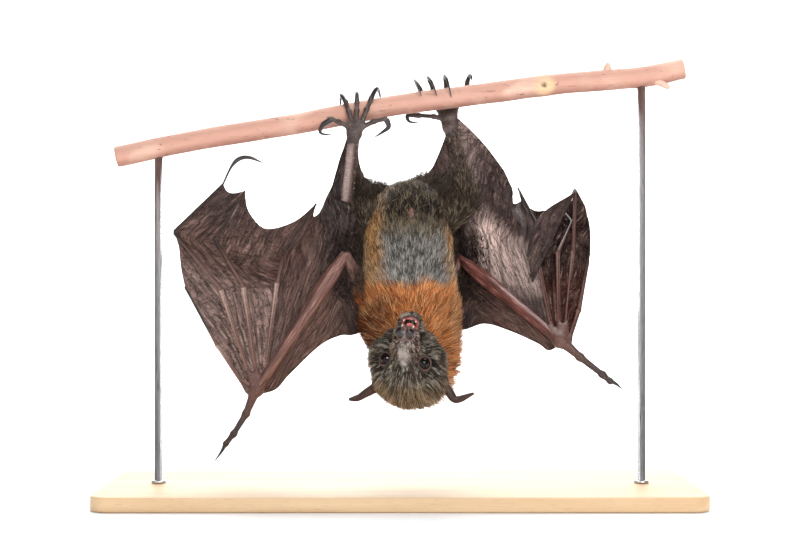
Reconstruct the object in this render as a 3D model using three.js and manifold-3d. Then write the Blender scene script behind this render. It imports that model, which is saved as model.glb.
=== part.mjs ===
// A grey-headed flying fox, life size, hanging by its feet from a cut length of branch,
// which stands on two rods over a flat base. Millimetres, +Z up. The belly faces -Y.
// The origin is on the underside of the base, at its centre. The animal hangs head down,
// so the left limbs are at -X.
import * as THREE from 'three';
import { mergeVertices } from 'three/addons/utils/BufferGeometryUtils.js';
import Module from 'manifold-3d';

const wasm = await Module();
wasm.setup();

// ---------------------------------------------------------------- driving dimensions
const GAP = 0.3; // clearance between pieces that meet
const WELD = 0.03; // a cut's corners and slivers smaller than this are closed up
const MEMBRANE = 1.0; // thickness of the wing skin
const SLACK_WIDTH = 30; // a panel of skin narrower than this billows less

const BASE_LENGTH = 570;
const BASE_DEPTH = 190;
const BASE_HEIGHT = 14;
const BASE_CORNER = 18;
const BASE_BEVEL = 2;

const ROD_RADIUS = 4;
const ROD_REACH = 234; // each rod's distance from the middle
const ROD_INTO_BASE = 8;
const ROD_INTO_PERCH = 7;

const PERCH_RADIUS = 10.2;

const FOREARM_RADIUS = 4.8;
const UPPER_ARM_RADIUS = 7;
const HAND_BONE_RADIUS = 2.1;
const FINGER_TIP_RADIUS = 0.9;
const KNUCKLE = 0.7; // how far a knuckle stands out
const TOE_RADIUS = 2.0;
const CLAW_RADIUS = 1.9;

const EYE_RADIUS = 6.8;
const HEAD_PITCH = 40; // degrees, how far the muzzle is lifted to the chest
const HEAD_TURN = 7.5; // degrees, towards the left wing
const HEAD_ROLL = 6; // degrees, right eye lower

const at = (x, y, z) => new THREE.Vector3(x, y, z);
const degrees = THREE.MathUtils.degToRad;

// ---------------------------------------------------------------- places in the pose
const PERCH_LINE = [
  at(-275, 0, 330), at(-194, 0, 347), at(-97, 0, 363), at(0, 0, 381),
  at(78, 0, 391), at(155, 0, 401), at(233, 0, 407.5), at(275, 0, 416),
];
const PERCH_KNOB = { foot: at(200, 0, 406), top: at(201.5, -1, 421), radius: 5.5 };
const PERCH_STUB = { foot: at(243, -2, 408), top: at(260, -6, 396.5), radius: 5.5 };

const HEAD_CENTRE = at(5.9, -31, 126.8);

const LEFT = {
  side: 'left',
  shoulder: at(-26, 12, 176),
  elbow: at(-52, -30, 236),
  wrist: at(-139, 4, 104),
  palm: at(-142.5, 1.5, 118),
  knee: at(-53, -6, 282),
  hip: at(-20, 8, 266),
  flank: at(-33, 0, 214),
  thighSide: at(-36, 8, 262),
  ankle: at(-44, -14, 351),
  thumb: [at(-142, 4, 100), at(-149.5, 2, 81), at(-161, -3, 62), at(-168.5, -4, 52.5)],
  thumbClaw: [at(-168.5, -4, 53.5), at(-172, -5, 46), at(-179, -6, 36)],
  digit2: [at(-148, 3, 103), at(-177.5, 0, 148), at(-190, 2, 170), at(-209, 3, 204)],
  digit3: [at(-143, 1, 110), at(-172, -12, 201.5), at(-221, 8, 257.5), at(-172.5, 8, 304.5)],
  hookedTip: [at(-172.5, 8, 304.5), at(-164, 6, 321.5), at(-156, 5, 329), at(-146, 4, 330),
    at(-134, 4, 325)],
  digit4: [at(-137.5, 2, 111.5), at(-150.5, -12, 204), at(-180.5, 10, 250), at(-151, 6, 297.5)],
  digit5: [at(-132, 4, 110), at(-118, -14, 208), at(-112.5, 8, 240), at(-81.5, 4, 285)],
  leadingEdge: [at(-30, 6, 163), at(-46, 3, 157.5), at(-58, 0, 157), at(-77.5, -2, 147.5), at(-107, 1, 119.5),
    at(-120, 4, 105), at(-136, 5, 99.5)],
  trailingEdge: [at(-81.5, 4, 285), at(-84, 6, 273), at(-76, 4, 279), at(-67, -2, 298),
    at(-60, -8, 322), at(-53, -12, 342), at(-50.5, -13, 350)],
  edge45: [at(-151, 6, 297.5), at(-147.5, 7, 278), at(-131, 9, 261), at(-103, 7, 268),
    at(-81.5, 4, 285)],
  edge34: [at(-172.5, 8, 304.5), at(-169, 8, 298), at(-163, 7, 295.5), at(-151, 6, 297.5)],
  edge23: [at(-209, 3, 204), at(-213, 5, 222), at(-216, 7, 245), at(-221, 8, 257.5)],
  legEdge: [at(-36, -13, 346), at(-39, -8, 323), at(-30, 0, 305), at(-12, 8, 300)],
  armBillow: at(6, 10, 0),
  fingerBillow: at(0, 9, 0),
  foot: { ball: at(-43.5, -16, 361), halfWidth: 9.5 },
  toes: [
    [at(-49, -15.5, 358), at(-59, -17, 362.5), at(-66, -17.5, 365.5)],
    [at(-46, -15.5, 361), at(-49, -13.2, 373), at(-52, -9, 381)],
    [at(-42, -15.5, 362), at(-41.5, -13.2, 374), at(-41.5, -9, 382)],
    [at(-37, -15.5, 361), at(-32, -13.2, 375), at(-28.5, -9, 384)],
    [at(-36, -15.5, 358), at(-25, -16.5, 363), at(-14, -17, 365.5)],
  ],
  claws: [
    [at(-66, -17.5, 365), at(-74, -17.5, 359.5), at(-76, -16.5, 352), at(-64, -14, 350)],
    [at(-52, -8.5, 382), at(-56.5, -1, 389.5), at(-58, 7, 386), at(-58, 12.5, 378)],
    [at(-41.5, -8.5, 383), at(-41.7, -1, 392), at(-42, 7, 389), at(-42, 13, 381)],
    [at(-28.5, -8.5, 385), at(-23, -1, 396), at(-20, 8, 393), at(-19, 13.5, 384)],
    [at(-13, -17, 365), at(-11, -16, 358), at(-17, -14, 353), at(-25, -12, 348)],
  ],
};

const RIGHT = {
  side: 'right',
  shoulder: at(36, 14, 176),
  elbow: at(59.5, 20, 232),
  wrist: at(146, -88, 156),
  palm: at(150, -77, 168),
  knee: at(68, 2, 286),
  hip: at(36, 8, 266),
  flank: at(46, 6, 214),
  thighSide: at(47, 10, 262),
  ankle: at(49, 12, 359),
  thumb: [at(151, -88, 153), at(164, -90, 141.5), at(184.5, -91, 125.5), at(191.5, -91, 119.5)],
  thumbClaw: [at(191, -91, 120), at(197, -91, 117), at(202.5, -91, 112)],
  digit2: [at(155, -85, 156.5), at(166, -66, 183), at(179, -28, 228.5), at(181.5, -14, 243)],
  digit3: [at(151.5, -82, 161.5), at(165.5, -22, 238), at(172.5, 20, 300.5), at(147.5, -10, 253.5),
    at(125, -40, 210)],
  digit4: [at(146, -80.5, 162.5), at(151, -22, 237), at(169.5, 22, 268), at(161.5, 60, 284)],
  digit5: [at(140.5, -82, 161), at(131.5, -15, 235), at(133, 12, 267.5), at(117.5, 40, 302)],
  leadingEdge: [at(46, 6, 165), at(62, 3, 162.5), at(81.5, -15, 169), at(104, -42, 163), at(127, -70, 153),
    at(136, -80, 147), at(145, -87, 151.5)],
  trailingEdge: [at(117.5, 40, 302), at(119.5, 34, 289), at(111.5, 28, 287), at(111, 27, 299),
    at(101, 22, 320), at(80, 18, 347), at(57, 13, 369)],
  edge45: [at(161.5, 60, 284), at(150, 58, 280.5), at(135, 50, 280), at(123, 43, 287),
    at(117.5, 40, 302)],
  edge34: [at(172.5, 20, 300.5), at(171, 34, 290), at(167, 48, 284), at(161.5, 60, 284)],
  edge23: [at(181.5, -14, 243), at(183.5, 0, 262), at(181, 12, 282), at(172.5, 20, 300.5)],
  legEdge: [at(40, 13, 352), at(36, 12, 330), at(27, 11, 315), at(8, 9, 305)],
  armBillow: at(-8, -12, 8),
  fingerBillow: at(8, 0, 0),
  foot: { ball: at(47, 16, 379), halfWidth: 11 },
  toes: [
    [at(44, 16, 368), at(33, 15.5, 371), at(19, 15, 372)],
    [at(41, 16.5, 374), at(29, 14.5, 386), at(20, 8.5, 395)],
    [at(45, 16.5, 376), at(37, 14.5, 388), at(32, 8.5, 397.5)],
    [at(49, 16.5, 377), at(47, 14.5, 390), at(45, 8.5, 399.5)],
    [at(53, 16.5, 375), at(61, 14.5, 390), at(65.5, 8.5, 402.5)],
  ],
  claws: [
    [at(19, 15, 372), at(8, 14, 372), at(9, 13, 366), at(20, 12, 364)],
    [at(20, 8, 396), at(15, 1, 404), at(17, -10, 399), at(20.5, -12, 388)],
    [at(32, 8, 398.5), at(27.5, 1, 407), at(31, -10, 401), at(35.5, -12.5, 388)],
    [at(45, 8, 400.5), at(43.5, 1, 408.5), at(46, -10, 402), at(49.5, -12.5, 387)],
    [at(65.5, 8, 403.5), at(67.5, 3, 409), at(69, -4, 408), at(69, -9.5, 403)],
  ],
};

// Cross sections of the furred body: height, middle in X, half width, front and back in Y.
const TRUNK_SECTIONS = [
  [199, 8, 50, -34, 41], [222, 7, 48, -38, 43], [250, 7, 46, -36, 42], [272, 7, 41, -30, 38],
  [287, 8, 33, -21, 32], [297, 9, 22, -12, 24], [302, 9, 8, -4, 14],
];
const NECK_SECTIONS = [
  [201, 8, 50, -34, 41], [182, 9.5, 52.5, -30, 40], [162, 10, 51.5, -25, 36],
  [144, 15, 46.5, -22, 31], [126, 15, 44, -17, 26], [110, 15.5, 37, -11, 19],
  [98, 16, 25, -4, 12], [93, 15, 10, 0, 7],
];
// Cross sections of the furred head in its own frame: forward, sideways middle,
// half width, crown height, throat depth.
const HEAD_SECTIONS = [
  [-39, 3, 9, 11, -4], [-30, 3, 26, 24, -16], [-18, 3, 35, 30, -23], [-4, 3, 39.5, 31, -27],
  [8, 2.5, 38, 24, -29], [16, 1.5, 33, 14, -27], [23, 0.5, 25.5, 9.5, -23], [30, 0, 18.5, 7.5, -18],
  [38, 0, 13, 6, -14.5], [46, 0, 10.5, 4.5, -12.5], [51, 0, 7.5, 2.5, -11],
];
const JAW_SECTIONS = [
  [4, 0, 15, -20, -34], [14, 0, 14, -22, -39], [24, 0, 11.5, -25.5, -41], [33, 0, 9.5, -29, -41],
  [39, 0, 6.5, -32, -39.5],
];

// ---------------------------------------------------------------- shape helpers
/** Turn a closed geometry with merged corners into a solid, its faces pointing out. */
function solidOf(geometry) {
  geometry.deleteAttribute('normal');
  geometry.deleteAttribute('uv');
  const merged = mergeVertices(geometry, 1e-4);
  const corners = Float32Array.from(merged.attributes.position.array);
  const faces = Uint32Array.from(merged.index.array);
  const [a, b, c] = [at(0, 0, 0), at(0, 0, 0), at(0, 0, 0)];
  let volume = 0;
  for (let i = 0; i < faces.length; i += 3) {
    a.fromArray(corners, faces[i] * 3);
    b.fromArray(corners, faces[i + 1] * 3);
    c.fromArray(corners, faces[i + 2] * 3);
    volume += a.dot(b.cross(c)) / 6;
  }
  if (volume < 0) {
    for (let i = 0; i < faces.length; i += 3) {
      [faces[i + 1], faces[i + 2]] = [faces[i + 2], faces[i + 1]];
    }
  }
  const mesh = new wasm.Mesh({ numProp: 3, vertProperties: corners, triVerts: faces });
  return new wasm.Manifold(mesh);
}

/** A closed round form: the sphere's meridians and parallels moved to place(angle, ring). */
function roundForm(around, along, place) {
  const grid = new THREE.SphereGeometry(1, around, along);
  const points = grid.attributes.position;
  const uv = grid.attributes.uv;
  for (let i = 0; i < points.count; i += 1) {
    const ring = along - Math.round(uv.getY(i) * along);
    const step = ring % along === 0 ? 0 : Math.round(uv.getX(i) * around) % around;
    const point = place((step / around) * 2 * Math.PI, ring);
    points.setXYZ(i, point.x, point.y, point.z);
  }
  return solidOf(grid);
}

/** A flat box as a grid whose top and underside split their squares along the same diagonal. */
function sheetGrid(across, along) {
  const grid = new THREE.BoxGeometry(1, 1, 1, across, along, 1);
  const underside = grid.groups[5];
  const corners = grid.index.array;
  for (let i = underside.start; i < underside.start + underside.count; i += 6) {
    const [a, b, d, , c] = corners.subarray(i, i + 5);
    corners.set([a, b, c, a, c, d], i);
  }
  return grid;
}

/** A sheet of even thickness over surface(u, v), both from 0 to 1. */
function sheetForm(across, along, thickness, surface) {
  const grid = sheetGrid(across, along);
  const points = grid.attributes.position;
  const nudge = 0.06; // a normal near an edge is taken this far inside it
  for (let i = 0; i < points.count; i += 1) {
    const u = Math.round((points.getX(i) + 0.5) * across) / across;
    const v = Math.round((points.getY(i) + 0.5) * along) / along;
    const inU = THREE.MathUtils.clamp(u, nudge, 1 - nudge);
    const inV = THREE.MathUtils.clamp(v, nudge, 1 - nudge);
    const alongU = surface(inU + nudge, inV).sub(surface(inU - nudge, inV));
    const alongV = surface(inU, inV + nudge).sub(surface(inU, inV - nudge));
    const normal = alongU.cross(alongV).normalize();
    const point = surface(u, v).addScaledVector(normal, Math.sign(points.getZ(i)) * thickness / 2);
    points.setXYZ(i, point.x, point.y, point.z);
  }
  return solidOf(grid);
}

/** A point a fraction t of the length along straight lines between places. */
function alongPath(places, t) {
  const lengths = places.slice(1).map((place, i) => place.distanceTo(places[i]));
  let left = THREE.MathUtils.clamp(t, 0, 1) * lengths.reduce((sum, length) => sum + length);
  const last = lengths.length - 1;
  const stretch = lengths.findIndex((length, i) => {
    if (i === last || left <= length) return true;
    left -= length;
    return false;
  });
  return places[stretch].clone().lerp(places[stretch + 1], Math.min(left / lengths[stretch], 1));
}

/** A point a fraction t of the way along straight bones, each bone an equal share of t. */
function alongBones(places, t) {
  const share = THREE.MathUtils.clamp(t, 0, 1) * (places.length - 1);
  const bone = Math.min(Math.floor(share), places.length - 2);
  return places[bone].clone().lerp(places[bone + 1], share - bone);
}

/** The same with a smooth curve through the places. */
function smoothLine(places) {
  const curve = new THREE.CatmullRomCurve3(places, false, 'centripetal');
  return (t) => curve.getPoint(THREE.MathUtils.clamp(t, 0, 1));
}

/**
 * Where a ring of a closed form lies: its share t of the length, and beyond = -1 or 1 for
 * the two end points, which close the form just past its first and last ring.
 */
function ringPlace(ring, along) {
  const beyond = ring === 0 ? -1 : Number(ring === along);
  return { t: THREE.MathUtils.clamp((ring - 1) / (along - 2), 0, 1), beyond };
}

/** A limb around line(t): radius(t) round it, ends rounded, wide times broader along `broad`. */
function limb(line, radius, { around = 8, along = 10, grow = 0, wide = 1, broad = at(1, 0, 0) } = {}) {
  const reach = 0.02;
  const ROUNDING = 0.5; // of the end radius, how far the rounded end stands out
  return roundForm(around, along, (angle, ring) => {
    const { t, beyond } = ringPlace(ring, along);
    const ahead = line(Math.min(t + reach, 1)).sub(line(Math.max(t - reach, 0))).normalize();
    const across = broad.clone().addScaledVector(ahead, -broad.dot(ahead)).normalize();
    const other = ahead.clone().cross(across);
    const size = beyond ? 0 : radius(t) + grow;
    return line(t).addScaledVector(across, Math.cos(angle) * size * wide)
      .addScaledVector(other, Math.sin(angle) * size)
      .addScaledVector(ahead, beyond * (radius(t) * ROUNDING + grow));
  });
}

/** Value at t of a list of evenly spread values. */
function blend(values, t) {
  const share = THREE.MathUtils.clamp(t, 0, 1) * (values.length - 1);
  const step = Math.min(Math.floor(share), values.length - 2);
  return THREE.MathUtils.lerp(values[step], values[step + 1], share - step);
}

const END_CAP = 2; // height of the low cap that closes each end of a body

/** A body stacked from oval sections; frame turns (sideways, depth, along) into a place. */
function sectionBody(sections, { around, along, grow, frame }) {
  const columns = sections[0].map((_, k) => sections.map((section) => section[k]));
  const tracks = columns.map((column) => {
    const curve = new THREE.CatmullRomCurve3(column.map((value, i) => at(i, value, 0)));
    return (t) => curve.getPoint(t).y;
  });
  const ahead = Math.sign(sections.at(-1)[0] - sections[0][0]);
  return roundForm(around, along, (angle, ring) => {
    const { t, beyond } = ringPlace(ring, along);
    const [level, middle, half, front, back] = tracks.map((track) => track(t));
    const size = beyond ? 0 : 1;
    const halfDepth = Math.abs(back - front) / 2 + grow;
    const sideways = middle + Math.cos(angle) * (half + grow) * size;
    const depth = (front + back) / 2 + Math.sin(angle) * halfDepth * size;
    return frame(sideways, depth, level + ahead * beyond * (END_CAP + grow));
  });
}

/** A patch between four edge lines that share corners. */
function patch(startSide, endSide, nearEdge, farEdge) {
  return (u, v) => {
    const point = startSide(v).multiplyScalar(1 - u).addScaledVector(endSide(v), u);
    point.addScaledVector(nearEdge(u), 1 - v).addScaledVector(farEdge(u), v);
    point.addScaledVector(nearEdge(0), -(1 - u) * (1 - v)).addScaledVector(nearEdge(1), -u * (1 - v));
    point.addScaledVector(farEdge(0), -(1 - u) * v).addScaledVector(farEdge(1), -u * v);
    return point;
  };
}

/** How far skin stands out of its frame: 1 near the middle, 0 along every edge. */
const swell = (u, v) => 8 * u * (1 - u) * v * (1 - v);

/** A cut piece without the crumbs and slivers that the cuts have left. */
function mainBody(solid) {
  const bodies = solid.asOriginal().simplify(WELD).decompose().sort((a, b) => b.volume() - a.volume());
  return bodies[0];
}

// ---------------------------------------------------------------- head
const HEAD_FRAME = new THREE.Matrix4().makeRotationY(degrees(HEAD_ROLL))
  .multiply(new THREE.Matrix4().makeRotationZ(degrees(-HEAD_TURN)))
  .multiply(new THREE.Matrix4().makeRotationX(degrees(-HEAD_PITCH)))
  .multiply(new THREE.Matrix4().makeScale(1, -1, -1))
  .premultiply(new THREE.Matrix4().makeTranslation(HEAD_CENTRE.x, HEAD_CENTRE.y, HEAD_CENTRE.z));

/** A place on the head: sideways (+ is its right), forward to the nose, up to the crown. */
const onHead = (sideways, forward, up) => at(sideways, forward, up).applyMatrix4(HEAD_FRAME);

const EYES = { left: [-16.8, 16.5, 4], right: [16.8, 16.5, 4] };
const EAR_LINES = {
  left: [at(-17, -14, 112), at(-31, -17, 103), at(-39, -18, 98), at(-49, -20, 96.5)],
  right: [at(37, -14, 116), at(47, -17, 103), at(54, -18, 96), at(71, -20, 102.5)],
};
const EAR_OPENING = at(0, 0.6, -0.8);

function ball(centre, radius) {
  const geometry = new THREE.SphereGeometry(radius, 8, 5);
  geometry.translate(centre.x, centre.y, centre.z);
  return solidOf(geometry);
}

function headForm(grow) {
  const options = { around: 14, along: 12, grow };
  const frame = (sideways, depth, level) => onHead(sideways, level, depth);
  let form = sectionBody(HEAD_SECTIONS, { ...options, frame });
  for (const [sideways, forward, up] of Object.values(EYES)) {
    const outward = onHead(sideways * 1.1, forward + 6, up + 0.5);
    form = form.subtract(ball(outward, EYE_RADIUS + 1.2 - grow));
  }
  return form;
}

function jawForm(grow) {
  const frame = (sideways, depth, level) => onHead(sideways, level, depth);
  return sectionBody(JAW_SECTIONS, { around: 10, along: 7, grow, frame });
}

function tongueForm(grow) {
  const line = (t) => onHead(0, 8 + 26 * t, -21.5 - 6.5 * t);
  const radius = (t) => blend([2.4, 2.6, 2.2], t);
  return limb(line, radius, { around: 8, along: 5, grow, wide: 2.4 });
}

function noseForm(grow) {
  const rings = 5;
  const lobes = [-1, 1].map((way) => roundForm(8, rings, (angle, ring) => {
    const turn = (Math.PI * ring) / rings;
    const round = Math.sin(turn);
    return onHead(
      way * 4 + (5 + grow) * round * Math.cos(angle),
      51 + (4.2 + grow) * Math.cos(turn),
      -3.5 + (5.6 + grow) * round * Math.sin(angle),
    );
  }));
  return lobes[0].add(lobes[1]);
}

function earForm(line) {
  const path = smoothLine(line);
  return sheetForm(4, 7, 1.6, (u, v) => {
    const ahead = path(v + 0.03).sub(path(v - 0.03)).normalize();
    const opening = EAR_OPENING.clone().addScaledVector(ahead, -EAR_OPENING.dot(ahead)).normalize();
    const across = ahead.clone().cross(opening);
    const angle = (u - 0.5) * degrees(190);
    const radius = blend([5.2, 5.2, 5, 4.4, 3.4, 0.9], v);
    return path(v).addScaledVector(across, Math.sin(angle) * radius)
      .addScaledVector(opening, -Math.cos(angle) * radius);
  });
}

// ---------------------------------------------------------------- body and legs
const upright = (sideways, depth, level) => at(sideways, depth, level);
const trunkForm = (grow) => sectionBody(TRUNK_SECTIONS, { around: 14, along: 8, grow, frame: upright });
const neckForm = (grow) => sectionBody(NECK_SECTIONS, { around: 14, along: 8, grow, frame: upright });

function thighForm(limbs, grow) {
  const line = (t) => limbs.hip.clone().lerp(limbs.knee, t);
  return limb(line, (t) => blend([16, 15.5, 12.5, 9.5], t), { around: 10, along: 5, grow });
}

function shinForm(limbs, grow) {
  const line = (t) => limbs.knee.clone().lerp(limbs.ankle, t);
  return limb(line, (t) => blend([8.5, 8.5, 7.5, 6.6, 6.2], t), { around: 8, along: 6, grow });
}

function footForm(limbs, grow) {
  const { ball: toeBall, halfWidth } = limbs.foot;
  const heel = limbs.ankle.clone().addScaledVector(at(0, 0, 1), -1);
  const depth = (t) => blend([4.6, 4.4, 4, 3.6], t);
  const wide = (halfWidth / 3.6) * 0.72;
  let form = limb((t) => heel.clone().lerp(toeBall, t), depth, { along: 6, grow, wide });
  for (const toe of limbs.toes) {
    const radius = (t) => TOE_RADIUS + 0.4 * Math.cos(2 * Math.PI * t) ** 2;
    form = form.add(limb(smoothLine(toe), radius, { around: 5, along: 4, grow }));
  }
  return form;
}

function clawForm(line, radius, grow) {
  const taper = (t) => radius * (1 - 0.86 * t ** 1.4);
  return limb(smoothLine(line), taper, { around: 5, along: 6, grow });
}

// ---------------------------------------------------------------- arms and wings
function upperArmForm(limbs, grow) {
  const line = (t) => limbs.shoulder.clone().lerp(limbs.elbow, t);
  return limb(line, (t) => UPPER_ARM_RADIUS * blend([1.7, 1.4, 1, 0.9], t), { along: 5, grow });
}

function forearmForm(limbs, grow) {
  const line = (t) => limbs.elbow.clone().lerp(limbs.wrist, t);
  const share = (t) => blend([1.35, 1.35, 1.15, 1, 0.9, 0.85, 0.85, 1.1, 1.15], t);
  const arm = limb(line, (t) => FOREARM_RADIUS * share(t), { around: 7, along: 7, grow });
  const palmLine = (t) => limbs.wrist.clone().lerp(limbs.palm, t);
  const palm = limb(palmLine, (t) => blend([4.6, 4.2, 3.4], t), { around: 7, along: 4, grow, wide: 2 });
  return arm.add(palm);
}

function thumbForm(limbs, grow) {
  const radius = (t) => blend([5.6, 4.6, 3.4, 2.8, 2.6, 3.2, 3], t);
  return limb(smoothLine(limbs.thumb), radius, { around: 6, along: 7, grow });
}

/** Thickness of a finger's bones at a share of its length. */
const boneRadius = (share) => THREE.MathUtils.lerp(HAND_BONE_RADIUS, FINGER_TIP_RADIUS, share ** 0.8);

/** A finger as a chain of straight bones, thinner towards the tip, swollen at the joints. */
function digitForm(bones, hookedTip, grow) {
  const count = bones.length - 1;
  const lengths = bones.slice(1).map((end, i) => limb(
    (t) => bones[i].clone().lerp(end, t),
    (t) => boneRadius((i + t) / count) + KNUCKLE * (1 - (i + t) / count) * (2 * t - 1) ** 8,
    { around: 5, along: 4, grow },
  ));
  if (hookedTip) {
    const radius = (t) => blend([1, 1.2, 2.3, 2.3, 1.8, 0.5], t);
    lengths.push(limb(smoothLine(hookedTip), radius, { around: 5, along: 8, grow }));
  }
  return lengths.reduce((finger, bone) => finger.add(bone));
}

/** Wing skin between two digits, from near the wrist out to its free edge. */
function fingerSheet(digitA, digitB, freeEdge, billow, grow) {
  const surface = patch(
    (v) => alongBones(digitA, v),
    (v) => alongBones(digitB, v),
    (u) => digitA[0].clone().lerp(digitB[0], u),
    smoothLine(freeEdge),
  );
  const start = 0.05; // where the bones have parted far enough for skin between them
  return sheetForm(3, 6, MEMBRANE + 2 * grow, (u, row) => {
    const v = Math.max(start, row);
    const width = surface(0, v).distanceTo(surface(1, v));
    const inset = Math.min((boneRadius(v) + 3.5 * GAP - 2 * grow) / width, 0.4);
    const slack = swell(u, v) * Math.min(width / SLACK_WIDTH, 1);
    return surface(THREE.MathUtils.lerp(inset, 1 - inset, u), v).addScaledVector(billow, slack);
  });
}

/** Wing skin between the fifth digit, the arm, the flank and leg, and its free edge. */
function armSheet(limbs, thickness) {
  const { shoulder, elbow, flank, thighSide, knee, digit5, trailingEdge } = limbs;
  const bodySide = [flank, thighSide, knee, trailingEdge.at(-1)];
  const armSide = [digit5[0], elbow, elbow.clone().lerp(shoulder, 0.3), flank];
  const surface = patch(
    (v) => alongBones(digit5, v),
    (v) => alongPath(bodySide, v),
    (u) => alongPath(armSide, u),
    smoothLine(trailingEdge),
  );
  return sheetForm(6, 7, thickness, (u, v) => surface(u, v).addScaledVector(limbs.armBillow, swell(u, v)));
}

/** Wing skin in front of the arm, from the neck to the wrist. */
function shoulderSheet(limbs, thickness) {
  const edge = smoothLine(limbs.leadingEdge);
  const arm = [limbs.shoulder, limbs.elbow, limbs.wrist];
  return sheetForm(3, 9, thickness, (u, v) => alongPath(arm, v).lerp(edge(v), u));
}

/** Skin between the leg and the rump. */
function legSheet(limbs, thickness) {
  const edge = smoothLine(limbs.legEdge);
  const leg = [limbs.ankle.clone().lerp(limbs.knee, 0.08), limbs.knee, limbs.hip];
  const surface = (u, v) => alongBones(leg, v).lerp(edge(v), u);
  return sheetForm(3, 7, thickness, surface);
}

/** The long tip of the right third digit is folded down, with a narrow strip of skin. */
function tipSheet(thickness) {
  const [, , fold, middle, tip] = RIGHT.digit3;
  const inner = smoothLine([fold, middle, tip]);
  const outer = smoothLine([fold.clone().add(at(-1, -5, -4)), middle.clone().add(at(-9, -9, 4)),
    tip.clone().add(at(-1, -3, 4))]);
  return sheetForm(2, 8, thickness, (u, v) => inner(v).lerp(outer(v), u));
}

// ---------------------------------------------------------------- perch and stand
const perchCurve = new THREE.CatmullRomCurve3(PERCH_LINE);

function perchForm(grow) {
  const section = new THREE.Shape();
  section.absarc(0, 0, PERCH_RADIUS + grow, 0, 2 * Math.PI);
  const tube = new THREE.ExtrudeGeometry(section, {
    steps: 9, curveSegments: 5, bevelEnabled: false, extrudePath: perchCurve,
  });
  let form = solidOf(tube);
  for (const spur of [PERCH_KNOB, PERCH_STUB]) {
    const line = (t) => spur.foot.clone().lerp(spur.top, t);
    form = form.add(limb(line, (t) => spur.radius * (1 - 0.45 * t), { around: 6, along: 4, grow }));
  }
  return form;
}

function perchHeight(x) {
  let best = PERCH_LINE[0];
  for (let i = 0; i <= 400; i += 1) {
    const point = perchCurve.getPoint(i / 400);
    if (Math.abs(point.x - x) < Math.abs(best.x - x)) best = point;
  }
  return best.z;
}

function uprightRod(x, bottom, top, radius) {
  const rod = new THREE.CylinderGeometry(radius, radius, top - bottom, 12);
  rod.rotateX(Math.PI / 2);
  rod.translate(x, 0, (bottom + top) / 2);
  return solidOf(rod);
}

function rodForm(way, slack) {
  const x = way * ROD_REACH;
  const bottom = BASE_HEIGHT - ROD_INTO_BASE - slack;
  const top = perchHeight(x) - PERCH_RADIUS + ROD_INTO_PERCH + slack;
  return uprightRod(x, bottom, top, ROD_RADIUS + slack);
}

function baseForm() {
  const halfLength = BASE_LENGTH / 2 - BASE_BEVEL;
  const halfDepth = BASE_DEPTH / 2 - BASE_BEVEL;
  const corner = BASE_CORNER - BASE_BEVEL;
  const outline = new THREE.Shape();
  outline.absarc(halfLength - corner, halfDepth - corner, corner, 0, Math.PI / 2);
  outline.absarc(corner - halfLength, halfDepth - corner, corner, Math.PI / 2, Math.PI);
  outline.absarc(corner - halfLength, corner - halfDepth, corner, Math.PI, 1.5 * Math.PI);
  outline.absarc(halfLength - corner, corner - halfDepth, corner, 1.5 * Math.PI, 2 * Math.PI);
  const slab = new THREE.ExtrudeGeometry(outline, {
    depth: BASE_HEIGHT - 2 * BASE_BEVEL,
    curveSegments: 3,
    bevelThickness: BASE_BEVEL,
    bevelSize: BASE_BEVEL,
    bevelSegments: 1,
  });
  slab.translate(0, 0, BASE_BEVEL);
  return solidOf(slab);
}

// ---------------------------------------------------------------- materials
const finish = (color, roughness, metalness = 0) => ({ color, roughness, metalness });
const FINISHES = {
  wing: finish('#5a4640', 0.55),
  bone: finish('#7a5a52', 0.5),
  arm: finish('#5c4742', 0.6),
  leg: finish('#5a4c48', 0.8),
  greyFur: finish('#736e69', 0.95),
  mantleFur: finish('#ae6e40', 0.95),
  faceFur: finish('#6f6358', 0.95),
  claw: finish('#1d1a1b', 0.3),
  nose: finish('#241f20', 0.3),
  eye: finish('#1a100c', 0.1),
  ear: finish('#2f1c17', 0.6),
  tongue: finish('#c26a6c', 0.4),
  perch: finish('#e8bfa8', 0.75),
  base: finish('#c9a77f', 0.6),
  rod: finish('#b9babd', 0.35, 0.9),
};

// ---------------------------------------------------------------- the pieces
// Each piece is a form that can grow by a clearance, its finish, and the neighbours that
// it gives way to.
const pieces = new Map();
function piece(name, finishName, form, givesWayTo = []) {
  pieces.set(name, { finishName, form, givesWayTo });
}

piece('stand_rod_left', 'rod', (grow) => rodForm(-1, grow));
piece('stand_rod_right', 'rod', (grow) => rodForm(1, grow));
piece('stand_base', 'base', baseForm, ['stand_rod_left', 'stand_rod_right']);
piece('perch', 'perch', perchForm, ['stand_rod_left', 'stand_rod_right']);

for (const [side, place] of Object.entries(EYES)) {
  piece(`${side}_eye`, 'eye', (grow) => ball(onHead(...place), EYE_RADIUS + grow));
}
piece('nose', 'nose', noseForm);
piece('head', 'faceFur', headForm, ['left_eye', 'right_eye', 'nose']);
piece('jaw', 'faceFur', jawForm, ['head']);
piece('tongue', 'tongue', tongueForm, ['head', 'jaw']);
piece('neck', 'mantleFur', neckForm, ['head', 'jaw', 'tongue']);
for (const [side, line] of Object.entries(EAR_LINES)) {
  piece(`${side}_ear`, 'ear', () => earForm(line), ['head', 'neck']);
}
piece('trunk', 'greyFur', trunkForm, ['neck']);

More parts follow.
